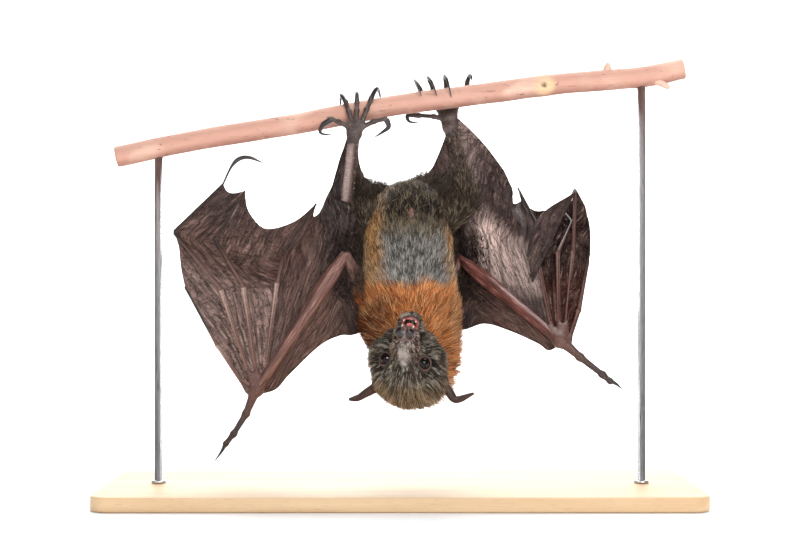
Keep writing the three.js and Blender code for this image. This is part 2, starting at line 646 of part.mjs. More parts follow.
for (const limbs of [LEFT, RIGHT]) {
  const own = (name) => `${limbs.side}_${name}`;
  const digits = [2, 3, 4, 5];
  piece(own('forearm'), 'arm', (grow) => forearmForm(limbs, grow));
  piece(own('upper_arm'), 'arm', (grow) => upperArmForm(limbs, grow), [own('forearm'), 'trunk', 'neck']);
  piece(own('thumb'), 'arm', (grow) => thumbForm(limbs, grow), [own('forearm')]);
  piece(own('thumb_claw'), 'claw', (grow) => clawForm(limbs.thumbClaw, CLAW_RADIUS + 0.3, grow),
    [own('thumb')]);
  digits.forEach((number, k) => {
    const earlier = digits.slice(0, k).map((n) => own(`digit_${n}`));
    piece(own(`digit_${number}`), 'bone',
      (grow) => digitForm(limbs[`digit${number}`], number === 3 && limbs.hookedTip, grow),
      [own('forearm'), own('thumb'), ...earlier]);
  });

  limbs.toes.forEach((_, k) => {
    piece(own(`toe_claw_${k + 1}`), 'claw', (grow) => clawForm(limbs.claws[k], CLAW_RADIUS, grow),
      ['perch', own('foot')]);
  });
  piece(own('foot'), 'leg', (grow) => footForm(limbs, grow), ['perch']);
  piece(own('shin'), 'leg', (grow) => shinForm(limbs, grow), [own('foot')]);
  piece(own('thigh'), 'leg', (grow) => thighForm(limbs, grow), [own('shin'), 'trunk']);

  const body = ['trunk', 'neck', own('upper_arm'), own('forearm'), own('thigh'), own('shin'), own('foot')];
  const hand = [own('forearm'), own('thumb'), ...digits.map((n) => own(`digit_${n}`))];
  piece(own('arm_membrane'), 'wing', (grow) => armSheet(limbs, MEMBRANE + 2 * grow), [...body, ...hand]);
  piece(own('leg_membrane'), 'wing', (grow) => legSheet(limbs, MEMBRANE + 2 * grow),
    [...body, own('arm_membrane')]);
  piece(own('shoulder_membrane'), 'wing', (grow) => shoulderSheet(limbs, MEMBRANE + 2 * grow),
    [...body, ...hand, own('arm_membrane'), 'head', own('ear')]);
  piece(own('finger_membrane_45'), 'wing',
    (grow) => fingerSheet(limbs.digit4, limbs.digit5, limbs.edge45, limbs.fingerBillow, grow),
    [...hand, own('arm_membrane')]);
  const [root, knuckle, bend, end] = limbs.digit3;
  const spread = limbs === LEFT ? [root, knuckle, bend, end]
    : [root, knuckle, knuckle.clone().lerp(bend, 0.5), bend];
  piece(own('finger_membrane_34'), 'wing',
    (grow) => fingerSheet(spread, limbs.digit4, limbs.edge34, limbs.fingerBillow, grow),
    [...hand, own('finger_membrane_45')]);
  piece(own('finger_membrane_23'), 'wing',
    (grow) => fingerSheet(limbs.digit2, [root, knuckle, bend], limbs.edge23, limbs.fingerBillow, grow),
    [...hand, own('finger_membrane_34')]);
}
piece('right_wingtip_fold', 'wing', (grow) => tipSheet(MEMBRANE + 2 * grow),
  ['right_digit_3', 'right_digit_4', 'right_digit_5', 'right_finger_membrane_34',
    'right_finger_membrane_45', 'right_arm_membrane', 'right_digit_2', 'right_finger_membrane_23']);

// ---------------------------------------------------------------- cut and assemble
const bat = new THREE.Group();
bat.name = 'hanging_flying_fox';
for (const [name, { finishName, form, givesWayTo }] of pieces) {
  let solid = form(0);
  for (const neighbour of givesWayTo) {
    solid = solid.subtract(pieces.get(neighbour).form(GAP));
  }
  const { vertProperties, triVerts } = mainBody(solid).getMesh();
  const geometry = new THREE.BufferGeometry();
  geometry.setAttribute('position', new THREE.BufferAttribute(vertProperties, 3));
  geometry.setIndex(new THREE.BufferAttribute(triVerts, 1));
  const { color, roughness, metalness } = FINISHES[finishName];
  const material = new THREE.MeshStandardMaterial({ color, roughness, metalness });
  const mesh = new THREE.Mesh(geometry, material);
  mesh.name = name;
  bat.add(mesh);
}

export default bat;
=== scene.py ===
# %% [markdown]
# # A fruit bat hanging from a branch
#
# The animal is a grey-headed flying fox at life size. It hangs head down from a cut length
# of branch, with its belly and face to the viewer. A flat base and two rods hold the branch.
# The work goes from helpers to bare skin, then to eyes, teeth and claws, the coat, the branch
# with its stand, and the light. Lengths are in millimetres until they go into a mesh, and +Z
# is up.

import bpy
import numpy as np
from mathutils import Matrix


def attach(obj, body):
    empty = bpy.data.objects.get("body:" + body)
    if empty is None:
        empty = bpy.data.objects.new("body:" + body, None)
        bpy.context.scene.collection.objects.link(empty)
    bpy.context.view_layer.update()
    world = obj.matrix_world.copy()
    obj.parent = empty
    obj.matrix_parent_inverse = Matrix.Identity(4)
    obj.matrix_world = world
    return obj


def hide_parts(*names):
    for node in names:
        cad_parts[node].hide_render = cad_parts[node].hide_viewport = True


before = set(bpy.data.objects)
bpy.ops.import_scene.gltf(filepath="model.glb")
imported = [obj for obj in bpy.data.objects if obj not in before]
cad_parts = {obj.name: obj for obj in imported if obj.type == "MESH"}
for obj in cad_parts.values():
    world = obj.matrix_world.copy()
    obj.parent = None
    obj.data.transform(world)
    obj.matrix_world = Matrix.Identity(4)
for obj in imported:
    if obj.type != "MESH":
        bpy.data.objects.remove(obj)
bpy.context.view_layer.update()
MM = 0.001
random = np.random.default_rng(11)
print("nodes in the frame:", len(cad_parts))

# %% [markdown]
# ## Small helpers
#
# Colours are written as display values from 0 to 255 and turned into the linear values that
# shaders use. Smooth lines go through a few named points. A shell is one closed surface: its
# points, its faces, a colour for each point, the name of its finish, and where each point
# lies on the skin, which the wrinkles follow.

# %% Colours, lines and shells
def colour(red, green, blue):
    """Display values from 0 to 255 as linear light: ((c + 0.055) / 1.055) to the power 2.4."""
    return ((np.array([red, green, blue]) / 255 + 0.055) / 1.055) ** 2.4


def unit(vectors):
    """Each vector divided by its length."""
    return vectors / np.maximum(np.linalg.norm(vectors, axis=-1, keepdims=True), 1e-9)


def soft_step(value, start, end):
    """0 below start, 1 above end, and 3x^2 - 2x^3 between them."""
    x = np.clip((value - start) / (end - start), 0, 1)
    return x * x * (3 - 2 * x)


def mix(first, second, share):
    """First colour where share is 0, second where it is 1."""
    share = np.asarray(share)[..., None]
    return first * (1 - share) + second * share


def smooth(points, t):
    """A smooth line through points: each span is the cubic whose end slopes are half the
    step between the neighbours."""
    points = np.asarray(points, float)
    place = np.clip(t, 0, 1) * (len(points) - 1)
    i = np.minimum(place.astype(int), len(points) - 2)
    s = (place - i)[..., None]
    slope = np.gradient(points, axis=0)
    return ((2 * s**3 - 3 * s**2 + 1) * points[i] + (s**3 - 2 * s**2 + s) * slope[i]
            + (3 * s**2 - 2 * s**3) * points[i + 1] + (s**3 - s**2) * slope[i + 1])


def straight(points, t):
    """Straight lines between points, each span an equal share of t."""
    points = np.asarray(points, float)
    place = np.clip(t, 0, 1) * (len(points) - 1)
    i = np.minimum(place.astype(int), len(points) - 2)
    return points[i] + (points[i + 1] - points[i]) * (place - i)[..., None]


def by_length(points, t):
    """Straight lines between points, where t is the share of the whole length."""
    points = np.asarray(points, float)
    reach = np.r_[0, np.cumsum(np.linalg.norm(np.diff(points, axis=0), axis=1))]
    return np.stack([np.interp(np.clip(t, 0, 1) * reach[-1], reach, points[:, k])
                     for k in range(3)], axis=-1)


def values(numbers, t):
    """Numbers spread evenly over t from 0 to 1, joined by straight lines."""
    return np.interp(t, np.linspace(0, 1, len(numbers)), numbers)


def waves(x, y, seed):
    """A soft irregular swell, mostly within -1 to 1: five sine waves in different directions."""
    count = 5
    own = np.random.default_rng(seed)
    turns = own.uniform(0, 2 * np.pi, (count, 3))
    sizes = own.uniform(0.6, 1.7, count)
    return sum(np.sin(sizes[k] * (np.cos(turns[k, 0]) * x + np.sin(turns[k, 0]) * y) + turns[k, 1])
               for k in range(count)) / count * 1.6


def shell(points, faces, tint, finish, lay=None):
    """One closed surface. tint is a colour, or one for each point. finish is a name, or one
    for each of the arrays in faces."""
    points = np.asarray(points, float)
    tint = np.broadcast_to(np.asarray(tint, float), points.shape)
    lay = np.zeros_like(points) if lay is None else np.asarray(lay, float)
    finish = [finish] * len(faces) if isinstance(finish, str) else finish
    return {"points": points, "faces": faces, "tint": tint, "finish": finish, "lay": lay}


def triangles(faces):
    """Every face as triangles: a quad is split from its first corner."""
    parts = [f if f.shape[1] == 3 else np.concatenate([f[:, [0, 1, 2]], f[:, [0, 2, 3]]])
             for f in faces]
    return np.concatenate(parts)


def normals_of(one):
    """Outward direction at each point: the sum of its triangles' cross products, to length 1."""
    tri = triangles(one["faces"])
    a, b, c = (one["points"][tri[:, k]] for k in range(3))
    flat = np.cross(b - a, c - a)
    total = np.stack([sum(np.bincount(tri[:, k], flat[:, axis], len(one["points"]))
                          for k in range(3)) for axis in range(3)], axis=1)
    return unit(total)


# %% [markdown]
# ## From numbers to meshes
#
# Blender can take a whole mesh as flat arrays, which is far quicker than a loop over its
# points. Every piece of this model goes through the same function. The skin is many closed
# shells in one object, so that it can be seen as one body.

# %% Put shells into one object
finishes = {}


def put(name, shells, replaces=(), uv=None):
    """One object from closed shells, in metres, which rides on the only body."""
    starts = np.cumsum([0] + [len(s["points"]) for s in shells[:-1]])
    corners, sizes, slots = [], [], []
    used = sorted({name for s in shells for name in s["finish"]})
    for start, one in zip(starts, shells):
        for faces, finish in zip(one["faces"], one["finish"]):
            corners.append((faces + start).ravel())
            sizes.append(np.full(len(faces), faces.shape[1]))
            slots.append(np.full(len(faces), used.index(finish)))
    corners, sizes, slots = map(np.concatenate, (corners, sizes, slots))
    points = np.concatenate([s["points"] for s in shells])
    mesh = bpy.data.meshes.new(name)
    mesh.vertices.add(len(points))
    mesh.vertices.foreach_set("co", (points * MM).astype(np.float32).ravel())
    mesh.loops.add(len(corners))
    mesh.loops.foreach_set("vertex_index", corners.astype(np.int32))
    mesh.polygons.add(len(sizes))
    mesh.polygons.foreach_set("loop_start", np.r_[0, np.cumsum(sizes)[:-1]].astype(np.int32))
    mesh.polygons.foreach_set("material_index", slots.astype(np.int32))
    mesh.polygons.foreach_set("use_smooth", np.ones(len(sizes), bool))
    mesh.update(calc_edges=True)
    tint = np.concatenate([s["tint"] for s in shells])
    rgba = np.concatenate([tint, np.ones((len(tint), 1))], axis=1).astype(np.float32)
    mesh.attributes.new("Tint", "FLOAT_COLOR", "POINT").data.foreach_set("color", rgba.ravel())
    lay = np.concatenate([s["lay"] for s in shells]).astype(np.float32)
    mesh.attributes.new("Lay", "FLOAT_VECTOR", "POINT").data.foreach_set("vector", lay.ravel())
    if uv is not None:
        layer = mesh.uv_layers.new(name="OFBake")
        layer.data.foreach_set("uv", uv[corners].astype(np.float32).ravel())
    for finish in used:
        mesh.materials.append(finishes[finish])
    piece = bpy.data.objects.new(name, mesh)
    bpy.context.scene.collection.objects.link(piece)
    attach(piece, "root")
    if replaces:
        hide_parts(*replaces)
    print(name, "has", len(triangles([f for s in shells for f in s["faces"]])), "triangles")
    return piece


# %% [markdown]
# ## Finishes
#
# Each finish is a small network of nodes. Markings, and on some pieces painted shade and
# painted highlight, are already in the mesh as the colour `Tint`, so a finish only adds what
# is too fine for the mesh: grain, pores, veins and wrinkles, and on the wing and the arm the
# painted shade and highlight that follow them. The wrinkles of the wing follow `Lay`, which
# holds millimetres across and along each panel of skin. Numbers that are the same all over are
# set on the shader itself. Almost every finish is made of two moves: noise drawn out along the
# grain, and a colour laid over the base where that noise is high.

# %% Node helpers
def node(tree, kind, settings=None, **inputs):
    """Add a node. Each input is a value or the output of another node."""
    new = tree.nodes.new("ShaderNode" + kind)
    for key, value in (settings or {}).items():
        setattr(new, key, value)
    for key, value in inputs.items():
        socket = new.inputs[int(key[1:])] if key[0] == "i" and key[1:].isdigit() \
            else new.inputs[key.replace("_", " ")]
        if isinstance(value, bpy.types.NodeSocket):
            tree.links.new(value, socket)
        else:
            socket.default_value = value
    return new


def start_finish(name, **numbers):
    """A new finish: its node tree, and its shader with some inputs set to plain numbers."""
    material = bpy.data.materials.new(name)
    material.use_nodes = True
    tree = material.node_tree
    shader = tree.nodes["Principled BSDF"]
    for key, value in numbers.items():
        shader.inputs[key.replace("_", " ")].default_value = value
    finishes[name] = material
    return tree, shader


def connect(tree, shader, **outputs):
    """Lead each output into the shader's input of that name."""
    for key, value in outputs.items():
        tree.links.new(value, shader.inputs[key.replace("_", " ")])


def tint_of(tree):
    """The colour kept in the mesh."""
    return node(tree, "Attribute", {"attribute_name": "Tint"}).outputs["Color"]


def lay_of(tree):
    """Millimetres across and along the skin, kept in the mesh."""
    return node(tree, "Attribute", {"attribute_name": "Lay"}).outputs["Vector"]


def spot_of(tree):
    """The place on the piece, in metres."""
    return node(tree, "TexCoord").outputs["Object"]


def noise(tree, vector, scale, detail=3.0, roughness=0.55):
    """Cloudy noise; scale is in cells for each unit of the vector."""
    return node(tree, "TexNoise", Vector=vector, Scale=scale, Detail=detail,
                Roughness=roughness).outputs["Fac"]


def drawn_out(tree, vector, cells, detail=3.0, roughness=0.55):
    """Noise with a different number of cells for each unit along each axis: a small number
    draws it out."""
    cells = cells if len(cells) == 3 else (*cells, 1.0)
    scaled = node(tree, "VectorMath", {"operation": "MULTIPLY"}, i0=vector, i1=cells).outputs[0]
    return noise(tree, scaled, 1.0, detail, roughness)


def maths(tree, operation, first, second=0.0):
    return node(tree, "Math", {"operation": operation}, i0=first, i1=second).outputs[0]


def in_range(tree, value, low, high, to_low=0.0, to_high=1.0):
    """The value's range from low to high, spread over another range."""
    return node(tree, "MapRange", Value=value, From_Min=low, From_Max=high, To_Min=to_low,
                To_Max=to_high).outputs[0]


def blended(tree, share, first, second):
    """First colour where share is 0, second where it is 1."""
    return node(tree, "MixRGB", {"blend_type": "MIX"}, Fac=share, Color1=first,
                Color2=second).outputs[0]


def laid_over(tree, base, value, low, high, most, tone, least=0.0):
    """The base with a tone over it, whose share goes from least to most as value goes from
    low to high."""
    return blended(tree, in_range(tree, value, low, high, least, most), base, rgba(*tone))


def bump(tree, height, distance, strength):
    """Relief from a height between 0 and 1; distance is in millimetres."""
    return node(tree, "Bump", Height=height, Distance=distance * MM,
                Strength=strength).outputs[0]


def rgba(red, green, blue):
    return (*colour(red, green, blue), 1.0)


# %% [markdown]
# ### Skin of the wing
#
# A living wing is thin, dull and a little greasy. Fine folds run along the fingers where
# the skin is slack, finer ones cross them, and a net of vessels shows darker. The folded
# panels of the right wing have no gloss: they are seen at a glancing angle, where gloss
# would show the bright wall instead of the skin.

# %% The wing's finish
def lines(tree, vector, cells, width, detail=2.0):
    """Thin wandering lines: where a cloudy noise is near its middle value."""
    cloud = drawn_out(tree, vector, cells, detail, 0.5)
    off = maths(tree, "ABSOLUTE", maths(tree, "SUBTRACT", cloud, 0.5))
    return in_range(tree, off, 0.0, width, 1.0, 0.0)


def wing_finish(name, gloss):
    """Long folds darken and lighten the skin as painted shade and painted highlight, and short
    grain does the same as a fine mottle; creases are dark lines of painted shade, and vessels
    are dark lines of the skin's own. The relief is 1.4 folds - 0.5 creases + 0.35 grain."""
    tree, shader = start_finish(name, Specular_IOR_Level=gloss)
    lay = lay_of(tree)
    folds = drawn_out(tree, lay, (0.3, 0.05), 5.0, 0.6)
    grain = noise(tree, lay, 0.9, 4.0, 0.7)
    patches = drawn_out(tree, lay, (0.05, 0.035))
    creases = maths(tree, "MAXIMUM", lines(tree, lay, (0.2, 0.05), 0.03, 3.0),
                    lines(tree, lay, (0.05, 0.16), 0.022))
    vessels = lines(tree, lay, (0.06, 0.03), 0.01)
    base = tint_of(tree)
    # Painted shade and painted highlight along the folds; the grain is a light and dark mottle, and the
    # patches are a paler tone.
    for value, low, high, most, tone in (
            (folds, 0.42, 0.64, 0.75, (28, 19, 18)), (folds, 0.46, 0.32, 0.45, (166, 138, 129)),
            (grain, 0.53, 0.72, 0.4, (172, 146, 138)), (grain, 0.47, 0.3, 0.6, (20, 13, 12)),
            (patches, 0.45, 0.75, 0.3, (126, 102, 94))):
        base = laid_over(tree, base, value, low, high, most, tone)
    # Painted shade in the creases; the vessels after it are the skin's own darker lines.
    base = blended(tree, maths(tree, "MULTIPLY", creases, 0.8), base, rgba(20, 12, 11))
    base = blended(tree, maths(tree, "MULTIPLY", vessels, 0.5), base, rgba(46, 26, 24))
    height = maths(tree, "SUBTRACT", maths(tree, "MULTIPLY", folds, 1.4),
                   maths(tree, "MULTIPLY", creases, 0.5))
    height = maths(tree, "ADD", height, maths(tree, "MULTIPLY", grain, 0.35))
    connect(tree, shader, Base_Color=base, Normal=bump(tree, height, 1.5, 0.8),
            Roughness=in_range(tree, grain, 0.3, 0.7, 0.36, 0.56))


wing_finish("wing", 0.22)
wing_finish("folded_wing", 0.0)

# %% [markdown]
# ### Other skins, horn, eye and hair
#
# The skin over the finger bones and feet is dry and finely ringed. The nose is wet and
# pebbled. Claws are horn, with a lengthwise grain. The hair is only a little glossy; its
# colour, from dark root to pale tip, is in the mesh.

# %% Finishes of the animal
tree, shader = start_finish("limb", Roughness=0.45, Specular_IOR_Level=0.3)
rings = drawn_out(tree, lay_of(tree), (0.15, 0.9))
grain = noise(tree, spot_of(tree), 900.0)
base = laid_over(tree, tint_of(tree), rings, 0.35, 0.7, 0.5, (40, 31, 29))
base = laid_over(tree, base, grain, 0.5, 0.75, 0.25, (170, 140, 128))
height = maths(tree, "ADD", rings, maths(tree, "MULTIPLY", grain, 0.5))
connect(tree, shader, Base_Color=base, Normal=bump(tree, height, 0.5, 0.8))

tree, shader = start_finish("hair", Roughness=0.5, Specular_IOR_Level=0.15)
connect(tree, shader, Base_Color=tint_of(tree))

tree, shader = start_finish("eye", Roughness=0.02, Specular_IOR_Level=0.22)
connect(tree, shader, Base_Color=tint_of(tree))

tree, shader = start_finish("nose", Roughness=0.16, Specular_IOR_Level=0.5)
pebbles = node(tree, "TexVoronoi", Vector=spot_of(tree), Scale=1300.0).outputs["Distance"]
connect(tree, shader, Base_Color=tint_of(tree), Normal=bump(tree, pebbles, 0.3, 0.6))

tree, shader = start_finish("undercoat", Roughness=0.85, Specular_IOR_Level=0.2)
fuzz = drawn_out(tree, spot_of(tree), (1100.0, 1100.0, 300.0))
base = laid_over(tree, tint_of(tree), fuzz, 0.35, 0.7, 0.7, (38, 30, 26), least=0.1)
connect(tree, shader, Base_Color=base, Normal=bump(tree, fuzz, 0.8, 0.8))

tree, shader = start_finish("mouth", Roughness=0.22, Specular_IOR_Level=0.5,
                            Subsurface_Weight=0.15, Subsurface_Scale=0.002)
wet = noise(tree, spot_of(tree), 500.0)
base = laid_over(tree, tint_of(tree), wet, 0.35, 0.7, 0.5, (120, 40, 44))
connect(tree, shader, Base_Color=base, Normal=bump(tree, wet, 0.4, 0.6))

tree, shader = start_finish("ear", Roughness=0.42, Specular_IOR_Level=0.3)
strands = drawn_out(tree, lay_of(tree), (1.6, 0.12))
base = laid_over(tree, tint_of(tree), strands, 0.4, 0.7, 0.5, (96, 66, 54))
connect(tree, shader, Base_Color=base, Normal=bump(tree, strands, 0.4, 0.6))

tree, shader = start_finish("claw", Roughness=0.28, Specular_IOR_Level=0.55)
streaks = drawn_out(tree, lay_of(tree), (3.0, 0.15))
base = laid_over(tree, tint_of(tree), streaks, 0.45, 0.75, 0.5, (58, 50, 48))
connect(tree, shader, Base_Color=base, Normal=bump(tree, streaks, 0.15, 0.6))

tree, shader = start_finish("tooth", Roughness=0.2, Specular_IOR_Level=0.5)
stain = noise(tree, spot_of(tree), 700.0, 2.0)
base = laid_over(tree, rgba(238, 228, 208), stain, 0.4, 0.7, 1.0, (214, 196, 160))
connect(tree, shader, Base_Color=base)

tree, shader = start_finish("arm", Roughness=0.36, Specular_IOR_Level=0.5)
tendons = drawn_out(tree, lay_of(tree), (0.75, 0.028), 5.0, 0.62)
# Painted highlight and shade along the tendons: dark streaks, then pale pink highlight streaks.
base = laid_over(tree, tint_of(tree), tendons, 0.4, 0.6, 0.75, (44, 27, 24))
base = laid_over(tree, base, tendons, 0.46, 0.34, 0.45, (196, 158, 148))
connect(tree, shader, Base_Color=base, Normal=bump(tree, tendons, 0.5, 0.7))
print("finishes so far:", ", ".join(finishes))

# %% [markdown]
# ## Two ways to make a closed shell
#
# A tube is a ring of points carried along a line, and closed by a point at each end. A
# sheet is a grid pushed half its thickness to both sides, with its rim stitched. Most of
# the bat is one of these: bones, toes, claws and the trunk are tubes, the wing is sheets.

# %% Tubes and sheets
def ring_faces(rings, around):
    """Faces of a stack of rings whose two end points come last, all facing outwards."""
    index = np.arange(rings * around).reshape(rings, around)
    turned = np.roll(index, -1, axis=1)
    sides = np.stack([index[:-1], turned[:-1], turned[1:], index[1:]], axis=-1).reshape(-1, 4)
    first, last = rings * around, rings * around + 1
    ends = np.concatenate([
        np.stack([np.full(around, first), turned[0], index[0]], axis=1),
        np.stack([np.full(around, last), index[-1], turned[-1]], axis=1)])
    return [sides, ends]


def tube(path, radius, around, tint, finish, broad=(1, 0, 0), wide=1.0, round_ends=0.5):
    """A ring at angle a is path + radius (wide cos a across + sin a other), where across is
    `broad` made square to the path, and other is square to both."""
    path = np.asarray(path, float)
    radius = np.broadcast_to(radius, len(path)).astype(float)
    ahead = unit(np.gradient(path, axis=0))
    broad = np.asarray(broad, float)
    across = unit(broad - (ahead @ broad)[:, None] * ahead)
    other = np.cross(ahead, across)
    angle = np.arange(around) * 2 * np.pi / around
    ring = path[:, None] + radius[:, None, None] * (
        wide * np.cos(angle)[:, None] * across[:, None] + np.sin(angle)[:, None] * other[:, None])
    ends = np.stack([path[0] - ahead[0] * radius[0] * round_ends,
                     path[-1] + ahead[-1] * radius[-1] * round_ends])
    points = np.concatenate([ring.reshape(-1, 3), ends])
    reach = np.r_[0, np.cumsum(np.linalg.norm(np.diff(path, axis=0), axis=1))]
    lay = np.stack(np.broadcast_arrays(np.abs(np.sin(angle / 2)) * 2 * np.pi * radius.mean(),
                                       reach[:, None], radius[:, None]), axis=-1).reshape(-1, 3)
    lay = np.concatenate([lay, lay[[0, -1]]])
    tint = np.asarray(tint, float)
    if tint.ndim == 2:
        tint = np.concatenate([np.repeat(tint, around, axis=0), tint[[0, -1]]])
    return shell(points, ring_faces(len(path), around), tint, finish, lay)


def sheet(grid, half, tint, finish):
    """Both faces of a grid of points, each half a thickness from it along its normal, which
    is the cross product of its two directions."""
    rows, columns = grid.shape[:2]
    direction_u, direction_v = np.gradient(grid, axis=0), np.gradient(grid, axis=1)
    normal = unit(np.cross(direction_u, direction_v))
    push = normal * np.broadcast_to(half, (rows, columns))[..., None]
    points = np.concatenate([(grid + push).reshape(-1, 3), (grid - push).reshape(-1, 3)])
    index = np.arange(rows * columns).reshape(rows, columns)
    top = np.stack([index[:-1, :-1], index[1:, :-1], index[1:, 1:], index[:-1, 1:]],
                   axis=-1).reshape(-1, 4)
    under = top[:, ::-1] + rows * columns
    rim = np.concatenate([index[:, 0], index[-1, 1:], index[-2::-1, -1], index[0, -2:0:-1]])
    after = np.roll(rim, -1)
    low = rows * columns
    wall = np.stack([rim + low, after + low, after, rim], axis=1)
    step_u = np.linalg.norm(direction_u, axis=-1)
    step_v = np.linalg.norm(direction_v, axis=-1)
    lay = np.stack([np.cumsum(step_u, axis=0), np.cumsum(step_v, axis=1), np.zeros_like(step_u)],
                   axis=-1).reshape(-1, 3)
    tint = np.broadcast_to(tint, (rows, columns, 3)).reshape(-1, 3)
    return shell(points, [top, under, wall], np.tile(tint, (2, 1)), finish, np.tile(lay, (2, 1)))


# %% [markdown]
# ## Clay: a third way, where forms melt into each other
#
# A head, a wrist and a foot are many lumps that flow together. Here each lump is a formula
# for the distance to its surface, worked out on a grid of points, and lumps are joined with
# a soft minimum, as clay is smoothed with a thumb. The surface is then where the distance is
# zero: one point in each grid cell that the surface crosses, and a quad round each crossed
# edge.

# %% The clay and its surface
def surface_net(field, low, step):
    """Closed surface of a field's zero. A cell's point is the mean of the places where its
    edges are crossed, and each crossed edge joins its four cells in one face."""
    inside = field < 0
    cells = np.array(field.shape) - 1
    keys, places, quads = [], [], []
    for axis in range(3):
        here = [slice(None)] * 3
        there = [slice(None)] * 3
        here[axis], there[axis] = slice(None, -1), slice(1, None)
        spot = np.argwhere(inside[tuple(here)] != inside[tuple(there)])
        ahead = np.eye(3, dtype=int)[axis]
        u, v = np.eye(3, dtype=int)[(axis + 1) % 3], np.eye(3, dtype=int)[(axis + 2) % 3]
        now, after = field[tuple(spot.T)], field[tuple((spot + ahead).T)]
        place = spot + ahead * (now / (now - after))[:, None]
        round_edge = np.stack([spot - u - v, spot - v, spot, spot - u], axis=1)
        key = np.ravel_multi_index(tuple(np.moveaxis(round_edge, -1, 0)), cells)
        key[now > 0] = key[now > 0, ::-1]
        quads.append(key)
        keys.append(key.ravel())
        places.append(np.repeat(place, 4, axis=0))
    point = np.unique(np.concatenate(keys), return_inverse=True)[1]
    places = np.concatenate(places)
    count = np.bincount(point)
    mean = np.stack([np.bincount(point, places[:, k]) / count for k in range(3)], axis=1)
    return low + mean * step, point.reshape(-1, 4)


class Clay:
    """A block of grid points; each number is about the distance to the surface, in mm."""

    def __init__(self, low, high, step):
        self.low, self.step = np.array(low, float), step
        size = np.ceil((np.array(high) - self.low) / step).astype(int) + 1
        self.field = np.full(size, 9.0, np.float32)

    def part(self, low, high, margin):
        """The part of the grid near a lump, and its coordinates."""
        size = np.array(self.field.shape)
        first = np.clip(np.floor((np.array(low) - margin - self.low) / self.step), 0, size)
        last = np.clip(np.ceil((np.array(high) + margin - self.low) / self.step) + 1, 0, size)
        first, last = first.astype(int), last.astype(int)
        axes = [self.low[k] + self.step * np.arange(first[k], last[k]) for k in range(3)]
        block = tuple(slice(a, b) for a, b in zip(first, last))
        return block, np.stack(np.meshgrid(*axes, indexing="ij"), axis=-1).astype(np.float32)

    def join(self, block, distance, soft, cut):
        """Soft minimum: min(a, b) - k h^2 / 4, where h is how near a and b are, over k. A cut
        is the same with the signs turned."""
        old = self.field[block]
        if cut:
            old = -old
        near = np.clip(1 - np.abs(old - distance) / soft, 0, None)
        new = np.minimum(old, distance) - near**2 * soft / 4
        self.field[block] = -new if cut else new

    def limb(self, start, end, start_radius, end_radius, soft, cut=False):
        """A tapering rod: distance to the line, less a radius that changes along it."""
        start, end = np.array(start, np.float32), np.array(end, np.float32)
        reach = max(start_radius, end_radius) + 6
        block, place = self.part(np.minimum(start, end), np.maximum(start, end), reach)
        along = end - start
        t = np.clip((place - start) @ along / (along @ along), 0, 1)
        away = np.linalg.norm(place - start - t[..., None] * along, axis=-1)
        self.join(block, away - (start_radius + (end_radius - start_radius) * t), soft, cut)

    def egg(self, centre, radii, soft, cut=False):
        """An egg: k (k - 1) / g, where k is the scaled distance and g its slope."""
        radii = np.array(radii, np.float32)
        centre = np.array(centre, np.float32)
        block, place = self.part(centre - radii.max(), centre + radii.max(), 6)
        away = place - centre
        k = np.linalg.norm(away / radii, axis=-1)
        g = np.linalg.norm(away / radii**2, axis=-1)
        self.join(block, k * (k - 1) / np.maximum(g, 1e-6), soft, cut)

    def surface(self):
        """The surface, closed at the sides of the block where a lump runs out of it."""
        self.field[[0, -1]] = self.field[:, [0, -1]] = self.field[:, :, [0, -1]] = 1
        return surface_net(self.field, self.low, self.step)


# %% [markdown]
# ## The pose
#
# These places are the joints of the real skeleton, and the free edges of the skin between
# them. The animal hangs upside down, so its left side is at -X. The same names and numbers
# shape the frame, so each surface here falls inside the solid that it stands for.

